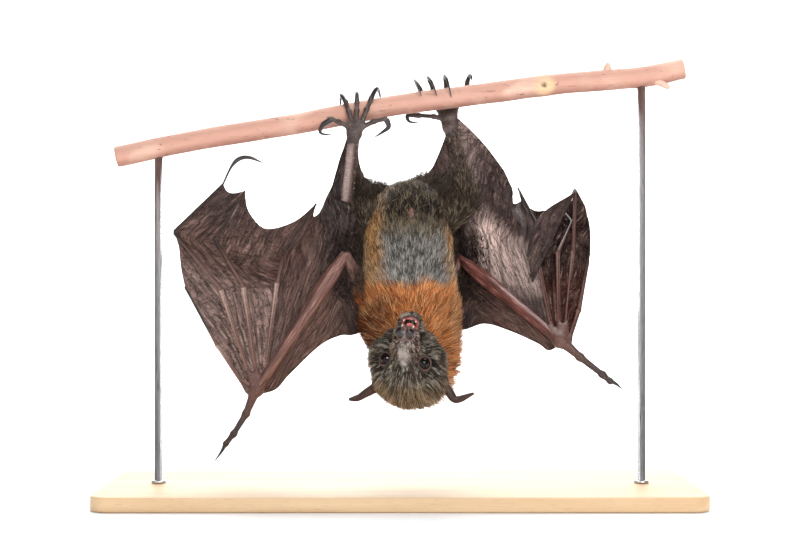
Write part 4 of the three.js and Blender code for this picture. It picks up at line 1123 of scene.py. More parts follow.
def head_clay():
    """The whole head in its own frame: sideways, forward, up."""
    clay = Clay((-34, -40, -42), (40, 60, 31), 0.85)
    clay.egg((3, -10, 1), (28, 27, 20), 4)
    clay.limb((2, -16, -8), (3, 2, -8), 20, 19, 8)
    for side in (-1, 1):
        clay.egg((side * 16.5, 4, -8.5), (12.5, 16, 14), 6)
        clay.egg((side * 9, 12, -22), (10, 14, 10), 6)
        clay.egg((side * 12.5, 13, 9), (7, 9, 5), 5)
        clay.egg((side * 7, 30, 1.5), (5, 12, 5), 4)
    clay.limb((0, 12, -4), (0, 34, -4.5), 14, 10, 6)
    clay.limb((0, 34, -4.5), (0, 47, -5.5), 10, 7.6, 5)
    for side in (-1, 1):
        clay.egg((side * 6.2, 41, -8), (5, 8.5, 5.5), 3)
        clay.limb((side * 5, 4, -22), (side * 4.2, 30, -31.5), 9, 5.6, 5)
    clay.egg((0, 34.5, -33), (8, 5.5, 4.6), 3)
    for side in (-1, 1):
        clay.limb((side * 3.8, 47, -22.5), (side * 3.8, 30, -21.5), 6.4, 3.2, 1.6, cut=True)
    clay.limb((0, 48, -22), (0, 24, -19.5), 7.2, 4.5, 1.6, cut=True)
    clay.egg((0, 32.5, -29.6), (7.4, 9, 3.0), 1.2, cut=True)
    for side in (-1, 1):
        clay.limb((side * 5.3, 46, -12.5), (side * 6.4, 26, -14), 1.7, 1.5, 1.5)
        clay.limb((side * 6.4, 36.5, -30.4), (side * 8.4, 22, -26), 1.5, 1.5, 1.5)
        clay.limb((side * 6.4, 36.5, -30.4), (0, 39.2, -31.2), 1.5, 1.5, 1.5)
    for way, side in (("left", -1), ("right", 1)):
        eye, gaze = EYES[way], GAZE[way]
        clay.egg(eye, (8.2, 8.2, 8.2), 3)
        clay.limb(eye + gaze * 3.2, eye + gaze * 12, 5.4, 9.5, 0.7, cut=True)
        hoop(clay, eye + gaze * 4.5, gaze, 6.1, 0.65, 0.6)
        hoop(clay, eye + gaze * 3.6, gaze, 9.4, 0.5, 1.2, cut=True)
        inner = eye + np.array([-side * 5.2, 5.5, 0.5])
        clay.limb(inner, inner + np.array([-side * 2.0, 4.0, -1.5]), 0.8, 0.3, 1.2, cut=True)
    for side in (-1, 1):
        clay.egg((side * 4.4, 50.5, -3.8), (4.9, 4.8, 5.4), 1.4)
        hoop(clay, (side * 5.4, 54.2, -4.6), unit(np.array([side * 0.45, 0.88, -0.1])), 2.5, 0.7, 1.0)
        clay.limb((side * 6.4, 58, -4.8), (side * 4.6, 50.0, -4.4), 1.9, 1.3, 0.8, cut=True)
    clay.limb((0, 57, -1), (0, 54.5, -8), 1.0, 0.8, 1.2, cut=True)
    clay.limb((0, 54, -8), (0, 48.5, -13.5), 0.8, 0.6, 1.0, cut=True)
    return clay.surface()


# %% Colours and finishes of the head
def pad_reach(local):
    """How far a place is outside the bare nose pad, in mm."""
    lobes = [np.linalg.norm((local - (side * 4.4, 50.5, -3.8)) / (5.6, 5.4, 6.2), axis=-1)
             for side in (-1, 1)]
    return (np.minimum(*lobes) - 1) * 5.4


def mouth_depth(local):
    """How far inside the open mouth a place is, from the wedge that was cut out."""
    side, forward, up = np.moveaxis(local, -1, 0)
    roof = -13.2 - 0.10 * (47 - forward)
    floor = -31.0 + 0.28 * (40 - forward)
    return np.minimum(np.minimum(roof - up, up - floor), 7.6 + 0.19 * (forward - 30) - np.abs(side))


def lid_reach(local):
    """Distance outside the eyeball's own surface for the nearer eye."""
    return np.minimum(*(np.linalg.norm(local - eye, axis=-1) for eye in EYES.values())) - EYE_RADIUS


FACE, FACE_PALE, CROWN = colour(108, 95, 84), colour(150, 142, 130), colour(170, 144, 110)
BLAZE, MUZZLE, LID = colour(255, 244, 238), colour(132, 102, 94), colour(116, 88, 83)


def face_fur(local):
    """Colour of the hair's tips on the head: grizzled grey, a pale stripe from the nose that
    narrows up to the brow, a yellowish crown and a paler chin."""
    side, forward, up = np.moveaxis(local, -1, 0)
    ragged = waves(side / 4, forward / 4 + up / 5, 8)
    tone = mix(FACE, FACE_PALE, soft_step(ragged, 0.1, 0.9) * 0.5)
    tone = mix(tone, CROWN, soft_step(up - 0.5 * forward + 4 * ragged, 8, 20))
    tone = mix(tone, CROWN * 0.8, soft_step(-forward + 3 * ragged, 8, 22) * 0.8)
    tone = mix(tone, colour(196, 146, 100), soft_step(-forward + 3 * ragged, 20, 32))
    tone = mix(tone, MUZZLE, soft_step(forward, 26, 36) * 0.7)
    width = 0.4 + 4.6 * soft_step(forward, 18, 32) + 1.2 * ragged
    stripe = soft_step(width - np.abs(side), -1.5, 2.0) * soft_step(forward, 10, 18)
    ticked = 0.72 + 0.28 * waves(side / 1.6, forward / 2.4, 15)
    stripe = stripe * ticked * (1 - 0.6 * soft_step(forward, 36, 44))
    tone = mix(tone, BLAZE, np.clip(stripe, 0, 1) * soft_step(up, -5, -1)
               * soft_step(forward + up, 10, 24))
    return mix(tone, FACE_PALE, soft_step(-20 - up, 0, 8) * soft_step(forward, 10, 22) * 0.7)


def head_shell():
    """The clay head, coloured, with the nose pad and the mouth as finishes of their own."""
    local, faces = head_clay()
    tint = face_fur(local) * 0.42
    lips = soft_step(mouth_depth(local), -2.2, -0.4)
    tint = mix(tint, colour(74, 52, 50), lips)
    tint = mix(tint, colour(164, 84, 82), soft_step(mouth_depth(local), -0.2, 1.6))
    # Painted shade: dark red deeper inside the open mouth.
    tint = mix(tint, colour(62, 22, 24), soft_step(33 - local[:, 1], 0, 9) * (mouth_depth(local) > 0.5))
    tint = mix(tint, colour(128, 104, 98), soft_step(2.6 - pad_reach(local), 0, 2))
    tint = mix(tint, colour(44, 34, 36), soft_step(0.4 - pad_reach(local), 0, 0.8))
    rim = soft_step(2.2 - lid_reach(local), 0, 1.2)
    tint = mix(tint, LID, rim)
    tint = mix(tint, colour(44, 32, 30), soft_step(0.9 - lid_reach(local), 0, 0.5))
    centre = local[faces].mean(axis=1)
    mouth = mouth_depth(centre) > -0.6
    nose = (pad_reach(centre) < 0.5) & ~mouth
    kinds = [faces[nose], faces[mouth], faces[~nose & ~mouth]]
    return shell(on_head(local), kinds, tint, ["nose", "mouth", "undercoat"], local)


head = head_shell()
print("the head's surface has", len(head["points"]), "points")

# %% [markdown]
# ## Ears, eyes, teeth and tongue
#
# The ears are plain scoops of thin dark skin. The eyeball is one ball whose colours are
# rings round its gaze: black pupil, dark brown iris, a thin dark rim. Its wet shine comes
# from the finish. Only the teeth and the tongue that the open mouth shows are there.

# %% Ears and the ball of the eye
EAR_LINES = {"left": [(-17, -14, 112), (-31, -17, 103), (-39, -18, 98), (-49, -20, 96.5)],
             "right": [(37, -14, 116), (47, -17, 103), (54, -18, 96), (71, -20, 102.5)]}


def ear(line, seed):
    """A scoop: an arc of 190 degrees carried along a line, its opening towards the viewer."""
    u, v = np.meshgrid(np.linspace(-0.5, 0.5, 20), np.linspace(0, 1, 32), indexing="ij")
    path = smooth(line, v)
    ahead = unit(smooth(line, v + 0.03) - smooth(line, v - 0.03))
    opening = np.array([0, 0.6, -0.8])
    opening = unit(opening - (ahead @ opening)[..., None] * ahead)
    across = np.cross(ahead, opening)
    angle = (u * np.radians(190) * (1 + 0.1 * np.sin(v * 9 + seed)))[..., None]
    uneven = 1 + 0.05 * waves(u * 6, v * 5, seed)
    radius = (values([4.6, 4.6, 4.2, 3.7, 3.0, 1.0], v) * uneven)[..., None]
    grid = path + np.sin(angle) * radius * across - np.cos(angle) * radius * opening
    tone = mix(colour(74, 50, 42), colour(40, 24, 20), soft_step(v, 0.1, 0.45))
    # Painted highlight: the rims of the scoop are lighter.
    tone = mix(tone, colour(74, 48, 40), soft_step(np.abs(u), 0.38, 0.5))
    return sheet(grid, 0.55, tone, "ear")


def eyeball(way):
    """A ball whose poles lie on the gaze; colour is read off the angle from the gaze."""
    rings, around = 30, 40
    polar = np.linspace(0, np.pi, rings + 2)[1:-1, None]
    turn = np.arange(around) * 2 * np.pi / around
    gaze = GAZE[way]
    across = unit(np.cross([0, 0, 1], gaze))
    other = np.cross(gaze, across)
    bulge = 1 + 0.05 * soft_step(np.cos(polar), 0.8, 0.95)
    out = (np.sin(polar)[..., None] * (np.cos(turn)[:, None] * across + np.sin(turn)[:, None] * other)
           - np.cos(polar)[..., None] * gaze)
    ring = EYES[way] + EYE_RADIUS * bulge[::-1, :, None] * out
    ends = EYES[way] + EYE_RADIUS * np.stack([-gaze, gaze * 1.05])
    local = np.concatenate([ring.reshape(-1, 3), ends])
    off = np.degrees(np.arccos(np.clip(unit(local - EYES[way]) @ gaze, -1, 1)))
    tint = mix(colour(9, 7, 7), colour(30, 17, 13), soft_step(off, 33, 37))
    tint = mix(tint, colour(24, 15, 13), soft_step(off, 44, 50))
    return shell(on_head(local), ring_faces(rings, around), tint, "eye")


# %% Teeth and tongue
def tooth(root, tip, radius, bow):
    """A cone that curves back a little, on the head."""
    t = np.linspace(0, 1, 9)
    path = straight([root, tip], t) + np.asarray(bow) * (4 * t * (1 - t))[:, None]
    return tube(on_head(path), radius * (1 - 0.8 * t**1.3), 10, colour(234, 224, 204), "tooth")


def tongue():
    """A flat rod with a groove along its back."""
    t = np.linspace(0, 1, 26)
    line = np.stack([0 * t, 9 + 25 * t, -22.5 - 5.6 * t], axis=1)
    one = tube(on_head(line), values([2.6, 2.8, 2.8, 2.4, 1.2], t), 20, colour(214, 122, 118),
               "mouth", broad=HEAD_TURNED[:, 0], wide=2.3)
    local = in_head(one["points"])
    groove = np.exp(-(local[:, 0] / 1.2) ** 2) * 0.7 * (local[:, 2] > -22.5 - 0.224 * (local[:, 1] - 9))
    one["points"] = on_head(local - np.outer(groove, [0, 0, 1]))
    return one


canines = [tooth((side * 5.2, 44.5, -13), (side * 5.4, 42.5, -20), 1.25, (0, 0.8, 0))
           for side in (-1, 1)]
canines += [tooth((side * 5.4, 36.5, -31), (side * 5.8, 37.5, -27), 1.0, (0, 0.4, 0))
            for side in (-1, 1)]
incisors = [tooth((x, 46.5 - abs(x) * 0.5, -13), (x, 46 - abs(x) * 0.5, -15.3), 0.6, (0, 0, 0))
            for x in (-2.4, -0.8, 0.8, 2.4)]
incisors += [tooth((x, 39.5 - abs(x) * 0.4, -31), (x, 39.8 - abs(x) * 0.4, -28.8), 0.5, (0, 0, 0))
             for x in (-1.8, -0.6, 0.6, 1.8)]

# %% [markdown]
# ## One skin
#
# All the shells of flesh go into one object. It stands for the soft nodes of the frame and
# hides them. The hard or wet things stay objects of their own.

# %% Put the skin, eyes, teeth and claws together
flesh = ["head", "jaw", "nose", "neck", "trunk", "right_wingtip_fold"]
own_nodes = ["ear", "forearm", "upper_arm", "thumb", "digit_2", "digit_3", "digit_4", "digit_5", "foot",
             "shin", "thigh", "arm_membrane", "leg_membrane", "shoulder_membrane",
             "finger_membrane_45", "finger_membrane_34", "finger_membrane_23"]
flesh += [f"{side}_{name}" for side in SIDES for name in own_nodes]
ears = [ear(EAR_LINES[side], seed) for seed, side in enumerate(EAR_LINES)]
limbs_of_flesh = [*left_arm, *right_arm, *left_leg, *right_leg]
put("bat_skin", [head, trunk, bare_fold(), *ears, *wings, *limbs_of_flesh], flesh)
put("bat_tongue", [tongue()], ["tongue"])
put("bat_teeth", canines + incisors)
for way in EYES:
    put(f"bat_eye_{way}", [eyeball(way)], [f"{way}_eye"])


def claw(line, radius, thumb=False, broad=(0, 1, 0)):
    """A hook that tapers as 1 - 0.86 t^1.4 and is narrower than it is deep."""
    t = np.linspace(0, 1, 26)
    path = smooth(line, t)
    tone = mix(colour(48, 39, 38), colour(22, 18, 19), soft_step(t, 0.0, 0.3))
    return tube(path, radius * (1 - 0.86 * t**1.4) * (1 + 0.1 * np.exp(-(t / 0.08) ** 2)), 14, tone,
                "claw", broad=(0, 0, 1) if thumb else broad, wide=1.0 if thumb else 0.8)


def across_hook(line):
    """The direction square to the plane in which a claw bends."""
    root, bend, _, tip = np.array(line, float)
    return unit(np.cross(bend - root, tip - bend))


for side, limbs in SIDES.items():
    hooks = [claw(line, 2.9, broad=across_hook(line)) for line in limbs["claws"]]
    for number, hook in enumerate(hooks, 1):
        put(f"{side}_claw_of_toe_{number}", [hook], [f"{side}_toe_claw_{number}"])
    put(f"{side}_claw_of_thumb", [claw(limbs["thumb_claw"], 2.2, True)],
        [f"{side}_thumb_claw"])

# %% [markdown]
# ## The coat
#
# Fur could be particle hair, but an exported model loses that. So the coat is real mesh:
# about 150,000 thin tufts, each a three-sided needle with one bend and ten triangles. A tuft
# knows four things: where it is rooted, which way the hair lies there, how long it is and
# how far it stands up. The ends of neighbouring tufts are drawn together, because real fur
# falls in locks. Everything is worked out for all tufts of a piece at once.

# %% Roots on a shell
def chances(one, weight):
    """For each triangle of a shell, its area times its weight."""
    tri = triangles(one["faces"])
    corner = one["points"][tri]
    size = np.linalg.norm(np.cross(corner[:, 1] - corner[:, 0], corner[:, 2] - corner[:, 0]), axis=1)
    return size * weight(corner.mean(axis=1), unit(normals_of(one)[tri].mean(axis=1)))


def scatter(one, count, weight):
    """Random places on a shell, as many for each triangle as its chance."""
    tri = triangles(one["faces"])
    chance = chances(one, weight)
    pick = random.choice(len(tri), count, p=chance / chance.sum())
    a, b = random.random((2, count))
    a, b = np.where(a + b > 1, 1 - a, a), np.where(a + b > 1, 1 - b, b)
    share = np.stack([1 - a - b, a, b], axis=1)[..., None]
    place = (one["points"][tri[pick]] * share).sum(axis=1)
    normal = unit((normals_of(one)[tri[pick]] * share).sum(axis=1))
    return place, normal


def lying(direction, normal, wild=0.2):
    """A direction laid flat on the skin, with a random turn."""
    flat = direction - (direction * normal).sum(axis=1, keepdims=True) * normal
    loose = unit(flat) + wild * random.normal(size=flat.shape)
    return unit(loose - (loose * normal).sum(axis=1, keepdims=True) * normal)


# %% Tufts from roots
def comb(place, normal, lie, length, lift, lock, pull):
    """Bend and tip of each tuft. The first half rises by `lift` radians, the second by a
    third of it. Tips in one cell of a warped grid, `lock` wide, are pulled to their mean."""
    length, lift = np.asarray(length)[:, None], np.asarray(lift)[:, None]
    bend = place + length * 0.5 * (np.cos(lift) * lie + np.sin(lift) * normal)
    tip = bend + length * 0.5 * (np.cos(lift / 3) * lie + np.sin(lift / 3) * normal)
    warped = place + 0.45 * lock * np.sin(place[:, [1, 2, 0]] * 2.1 / lock
                                          + place[:, [2, 0, 1]] * 0.9 / lock)
    cell, which = np.unique(np.floor(warped / lock).astype(int), axis=0, return_inverse=True)
    which = which.ravel()
    number = np.bincount(which)[:, None]
    mean = np.stack([np.bincount(which, tip[:, k]) for k in range(3)], axis=1) / number
    spread = pull * random.uniform(0.4, 1.2, (len(cell), 1))[which]
    return bend + 0.25 * spread * (mean[which] - tip), tip + spread * (mean[which] - tip)


def tufts(place, normal, bend, tip, radius, root_tint, tip_tint, unwrapped):
    """Needles of seven points: a ring of three at the root, one at the bend, and the tip.
    Each has a patch 0.003 across on the unwrap of the skin."""
    count = len(place)
    ahead = unit(tip - place)
    across = unit(np.cross(ahead, normal))
    other = np.cross(ahead, across)
    angle = np.array([0.5, 2.5, 4.5]) * np.pi / 3
    radius = np.broadcast_to(radius, count)[:, None, None]
    ring = radius * (np.cos(angle)[:, None] * across[:, None] * 1.25
                     + np.sin(angle)[:, None] * other[:, None] * 0.8)
    root = (place - normal * 0.4)[:, None] + ring
    points = np.concatenate([root, bend[:, None] + 0.85 * ring, tip[:, None]], axis=1)
    start = np.arange(count)[:, None, None] * 7
    quads = np.array([[0, 1, 4, 3], [1, 2, 5, 4], [2, 0, 3, 5]]) + start
    tris = np.array([[0, 2, 1], [3, 4, 6], [4, 5, 6], [5, 3, 6]]) + start
    middle = root_tint * 0.45 + tip_tint * 0.55
    tint = np.stack([root_tint] * 3 + [middle] * 3 + [tip_tint], axis=1)
    patch_of = np.array([[0, 0], [1, 0], [2, 0], [0, 1], [1, 1], [2, 1], [1, 2]]) * 0.0015
    uv = unwrapped[:, None] + patch_of
    one = shell(points.reshape(-1, 3), [quads.reshape(-1, 4), tris.reshape(-1, 3)],
                np.clip(tint, 0, 1).reshape(-1, 3), "hair")
    return one, uv.reshape(-1, 2)


def grizzled(tone, place, light, silver, dark, pale, cell):
    """Neighbouring tufts in one small cell share a tone: most keep their own, some cells are
    dark and some silver. Each tuft is also a little lighter or darker."""
    which = np.unique(np.floor(place / cell).astype(int), axis=0, return_inverse=True)[1].ravel()
    draw = random.random(which.max() + 1)[which]
    lock = (1 + light * random.normal(size=which.max() + 1))[which]
    tone = tone * np.clip(lock + 0.12 * random.normal(size=len(tone)), 0.4, 1.8)[:, None]
    tone = tone * (1 - 0.7 * (draw < dark))[:, None]
    return mix(tone, np.asarray(pale), (draw > 1 - silver) * random.uniform(0.5, 0.9, len(tone)))


def round_body(place):
    """Unwrap of the trunk: the turn round it, and the height."""
    turn = np.arctan2(place[:, 1] - 3, place[:, 0] - 9) / (2 * np.pi) + 0.5
    return np.stack([0.01 + 0.97 * turn, 0.01 + 0.97 * (place[:, 2] - 80) / 240], axis=1)


def round_head(place):
    """Unwrap of the head: the turn round the line from nose to nape, and the place along it."""
    side, forward, up = in_head(place).T
    turn = np.arctan2(up + 6, side) / (2 * np.pi) + 0.5
    return np.stack([0.01 + 0.97 * turn, 0.01 + 0.97 * (forward + 45) / 110], axis=1)


# %% [markdown]
# ### Hair of the trunk and the collar
#
# On the trunk the hair lies from head to tail, which is upwards here. On the collar it also
# fans out from the face like a ruff. It is long and shaggy between the legs.

# %% Coat of the trunk
def trunk_coat(name, count, where, fan=0.0):
    """Hair on the part of the trunk where `where` is above 0."""
    place, normal = scatter(trunk, count, where)
    x, z = place[:, 0], place[:, 2]
    tailward = np.tile([0.0, 0.0, 1.0], (count, 1))
    outward = np.stack([np.clip((x - 9) / 30, -1, 1), 0 * x, 0 * x], axis=1)
    from_face = unit(place - (HEAD_CENTRE + np.array([4, -14, 12])))
    fanned = fan * soft_step(192 - z, 0, 40)
    lie = tailward * (1 - 0.6 * fanned)[:, None] + outward * 0.28 + from_face * fanned[:, None]
    lie = lie + np.array([0, 1.0, 0]) * (fanned * soft_step(118 - z, 0, 16))[:, None]
    coat = np.interp(z, [100, 130, 190, 215, 262, 280, 300], [15, 19, 18, 12, 12, 16, 15])
    length = coat * random.uniform(0.65, 1.25, count)
    lift = np.interp(z, [100, 130, 190, 215, 262, 280, 300], [0.85, 0.85, 0.65, 0.5, 0.48, 0.5, 0.4])
    lift = lift * random.uniform(0.6, 1.3, count)
    wild = 0.3 + 0.35 * soft_step(z, 245, 268)[:, None]
    bend, tip = comb(place, normal, lying(lie, normal, wild), length, lift, 5, 0.35)
    collar = z < COLLAR_TOP
    tone = body_fur(place)
    ochre = soft_step(np.abs(x - 13), 24, 34)
    pale = mix(colour(214, 208, 200), colour(184, 164, 134), soft_step(z, 236, 262))
    pale = mix(pale, colour(255, 212, 156), ochre)
    tone = np.where(collar[:, None], grizzled(tone, place, 0.25, 0.2, 0.3, colour(255, 206, 150), 1.4),
                    grizzled(tone, place, 0.4, np.interp(z, [205, 245, 270], [0.34, 0.3, 0.2]),
                             0.44, pale, 1.5))
    one, uv = tufts(place, normal, bend, tip, random.uniform(0.2, 0.36, count), tone * 0.28, tone,
                    round_body(place))
    return put(name, [one], (), uv)


def on_front(y):
    return soft_step(4 - y, -6, 6)


trunk_coat("coat_of_collar_front", 19500, lambda p, n: on_front(p[:, 1]) * (p[:, 2] < COLLAR_TOP + 3)
           * (0.25 + soft_step(p[:, 2], 112, 150)), 1.0)
trunk_coat("coat_of_collar_back", 14500,
           lambda p, n: (1 - on_front(p[:, 1])) * (p[:, 2] < COLLAR_TOP + 3), 1.0)
trunk_coat("coat_of_belly", 19500,
           lambda p, n: on_front(p[:, 1]) * (p[:, 2] >= COLLAR_TOP))
trunk_coat("coat_of_back", 13500,
           lambda p, n: (1 - on_front(p[:, 1])) * (p[:, 2] >= COLLAR_TOP))

# %% [markdown]
# ### Hair of the head
#
# From the nose the hair lies backwards. It is a few millimetres long on the muzzle and
# longer on the cheeks and crown, where it stands out. The nose pad, the lips, the lids and
# the inside of the mouth are bare.

# %% Coat of the head
def bare_head(local):
    """0 where the head is bare and 1 where it is hairy."""
    bare = soft_step(pad_reach(local), 0.4, 2.2) * soft_step(lid_reach(local), 2.3, 3.6)
    lips = soft_step(-mouth_depth(local), 0.8, 2.0)
    for line in EAR_LINES.values():
        root = in_head(np.array(line[0], float) * 0.55 + np.array(line[1], float) * 0.45)
        bare = bare * soft_step(np.linalg.norm(local - root, axis=1), 3, 6)
    return bare * lips


def head_coat(name, count, face, radius):
    """Hair on the face (in front of the ears) or on the crown and cheeks behind it."""
    def where(points, normals):
        local = in_head(points)
        side = soft_step(local[:, 1], 2, 12)
        return bare_head(local) * (side if face else 1 - side)

    place, normal = scatter(head, count, where)
    local = in_head(place)
    side, forward, up = local.T
    back = np.stack([side * 0.045, np.full(count, -1.0), 0.25 + 0.02 * up], axis=1)
    back[:, 2] = np.where(up < -16, -0.1, back[:, 2])
    away = unit(local - (0, 30, -6))
    lie = unit(back) + away * 0.35
    far = np.linalg.norm(local - (0, 52, -6), axis=1)
    coat = np.interp(far, [0, 8, 20, 32, 42, 56, 90], [1.6, 2.6, 5, 9, 13, 15, 15])
    coat = coat * (1 - 0.45 * soft_step(6.5 - lid_reach(local), 0, 4))
    coat = np.where((up < -24) & (forward > 18), np.minimum(coat, 5.5), coat)
    length = coat * random.uniform(0.65, 1.25, count)
    lift = np.interp(far, [0, 20, 34, 46, 90], [0.35, 0.45, 0.62, 0.85, 0.85])
    lift = lift * random.uniform(0.5, 1.45, count)
    flat = lying(lie @ HEAD_TURNED.T, normal)
    bend, tip = comb(place, normal, flat, length, lift, 3.2 if face else 4.5, 0.45)
    tone = face_fur(local)
    blaze = soft_step(tone.mean(axis=1), 0.32, 0.6)
    tone = grizzled(tone, place, 0.3, 0.24, 0.42 - 0.38 * blaze, colour(226, 216, 198), 1.3)
    dark = 0.3 + 0.25 * soft_step(forward, 26, 44)
    one, uv = tufts(place, normal, bend, tip, radius * random.uniform(0.75, 1.25, count)
                    * np.interp(far, [0, 20, 50], [0.6, 0.8, 1.15]), tone * dark[:, None], tone,
                    round_head(place))
    return put(name, [one], (), uv)


head_coat("coat_of_face", 19500, True, 0.24)
head_coat("coat_of_crown", 19500, False, 0.3)

# %% [markdown]
# ### Hair of the legs, rump and arms
#
# A grey-headed flying fox is furred down to its toes. The thighs carry long dark hair which
# hides where they join the trunk. Hair also covers the upper arm and spreads a little way
# on to the wing skin beside the flank.

# %% Coat of legs and arms
def limb_coat(name, shells, count, where, lie_to, coat, lift, tone_of, radius=0.3,
              pale=(182, 162, 134)):
    """Hair on several shells, an equal share by area. lie_to gives the lie at each place."""
    amounts = np.array([chances(one, where).sum() for one in shells])
    numbers = (count * amounts / amounts.sum()).astype(int)
    spots = [scatter(one, number, where) for one, number in zip(shells, numbers)]
    place, normal = (np.concatenate(part) for part in zip(*spots))
    number = len(place)
    length = coat(place) * random.uniform(0.6, 1.3, number)
    rise = lift * random.uniform(0.5, 1.4, number)
    bend, tip = comb(place, normal, lying(lie_to(place), normal, 0.5), length, rise, 5, 0.5)
    tone = grizzled(tone_of(place), place, 0.3, 0.14, 0.38, colour(*pale), 1.0)
    one, uv = tufts(place, normal, bend, tip, radius * random.uniform(0.7, 1.25, number), tone * 0.35,
                    tone, round_body(place))
    return put(name, [one], (), uv)


def leg_fur(place):
    """Olive brown on the thigh, darker and sparser on the shin."""
    return mix(RUMP * 0.85, colour(112, 98, 88), soft_step(place[:, 2], 285, 325))


def skirt_fur(place):
    """Olive between the legs, and nearly black with painted shade on the wing beside the flank."""
    # Painted shade: the share of near-black hair beside the flank.
    dark = soft_step(np.abs(place[:, 0] - 8), 38, 54)
    return mix(leg_fur(place), colour(50, 38, 34), dark)


def skirt(points, normals):
    """Most hair where the wing and the tail skin leave the body, none further out."""
    x, z = points[:, 0], points[:, 2]
    wing = soft_step(84 - np.abs(x - 8), 0, 26) * soft_step(z, 182, 200) * soft_step(262 - z, 0, 20)
    tail = soft_step(46 - np.abs(x - 8), -14, 10) * soft_step(z, 262, 276) * soft_step(318 - z, 0, 22)
    return 0.001 + np.maximum(wing * 0.8, tail * 1.6)


for side, limbs in SIDES.items():
    sign = -1 if side == "left" else 1
    thigh, shin = (left_leg if side == "left" else right_leg)[:2]
    ankle = np.array(limbs["ankle"], float)

    def inner(points, normals):
        """Thick on the thigh, thinner on the shin, and nearly none on the left shin's outer side."""
        bare = soft_step(points[:, 2], 250, 262) * soft_step(-41 - points[:, 0], 0, 6)
        return (1.2 - 0.85 * soft_step(points[:, 2], 290, 335)) * (1 - 0.99 * bare)

    limb_coat(f"coat_of_{side}_leg", [thigh, shin], 9000, inner,
              lambda p, a=ankle: unit(a - p) + np.array([0, 0, 0.4]),
              lambda p: np.interp(p[:, 2], [262, 285, 310, 350], [17, 15, 8, 4])
              * (1 - 0.75 * soft_step(-34 - p[:, 0], 0, 8)), 0.5, leg_fur)
    sheets = (left_wing if side == "left" else right_wing)[:3]
    limb_coat(f"coat_of_{side}_skirt", sheets, 8500, skirt,
              lambda p, s=sign: np.tile([0.45 * s, 0, 1.0], (len(p), 1)),
              lambda p: np.interp(np.abs(p[:, 0] - 8), [30, 50, 88], [11, 8, 3.5]), 0.3, skirt_fur,
              0.24, (104, 86, 74))

ARM_FUR = {"left": (LEFT, left_arm), "right": (RIGHT, right_arm)}
for side, (limbs, bones) in ARM_FUR.items():
    shoulder, elbow = np.array(limbs["shoulder"], float), np.array(limbs["elbow"], float)

    def upper(points, normals, shoulder=shoulder, elbow=elbow):
        """All hair at the shoulder, none at the elbow."""
        share = (points - shoulder) @ (elbow - shoulder) / ((elbow - shoulder) @ (elbow - shoulder))
        return 0.02 + soft_step(0.85 - share, 0, 0.4)

    limb_coat(f"coat_of_{side}_arm", [bones[0]], 4200, upper,
              lambda p, s=shoulder, e=elbow: np.tile(unit(e - s), (len(p), 1)) + [0, 0, 0.3],
              lambda p: np.interp(p[:, 2], [176, 215, 236], [10, 8, 4]), 0.4,
              lambda p: mix(body_fur(p), colour(92, 74, 62), soft_step(p[:, 2], 186, 206)),
              pale=(124, 100, 84))

# %% [markdown]
# ## The perch
#
# The branch is dead wood that has lost its bark: pinkish tan, with paler patches, a grain
# that runs along it, small dark flecks, a broken knob, a side stub and a knot hole. Painted
# shade darkens its underside and the middle of the knot hole. It is a tube with a wandering
# radius. Its two ends are sawn flat.

# %% The perch
PERCH_LINE = [(-275, 0, 330), (-194, 0, 347), (-97, 0, 363), (0, 0, 381), (78, 0, 391),
              (155, 0, 401), (233, 0, 407.5), (275, 0, 416)]
PERCH_RADIUS = 10.2


def wood(path, radius, around, seed, ends=True):
    """A tube whose radius wanders by up to 6 percent, with sawn ends: the last rings turn in
    over a small bevel to the middle."""
    if ends:
        ahead = unit(np.gradient(path, axis=0))
        caps = [(0.05, 0.0), (0.45, 0.0), (0.8, 0.0), (0.96, 0.25)]
        first = np.array([path[0] + ahead[0] * inset for _, inset in caps])
        last = np.array([path[-1] - ahead[-1] * inset for _, inset in caps[::-1]])
        path = np.concatenate([first, path[1:-1], last])
        radius = np.concatenate([[radius[0] * share for share, _ in caps], radius[1:-1],
                                 [radius[-1] * share for share, _ in caps[::-1]]])
    one = tube(path, radius, around, colour(222, 184, 166), "wood", broad=(0, 1, 0),
               round_ends=0.0 if ends else 0.5)
    rings = len(path)
    turn = np.tile(np.arange(around) * 2 * np.pi / around, rings)
    along = np.repeat(np.arange(rings), around) * 0.35
    swell = 0.035 * waves(2 * np.cos(turn) + along * 0.3, 2 * np.sin(turn) + along * 0.22, seed)
    swell = swell + 0.012 * waves(6 * np.cos(turn) + along, 6 * np.sin(turn), seed + 1)
    middle = np.repeat(path, around, axis=0)
    one["points"][:-2] = middle + (one["points"][:-2] - middle) * (1 + swell)[:, None]
    return one


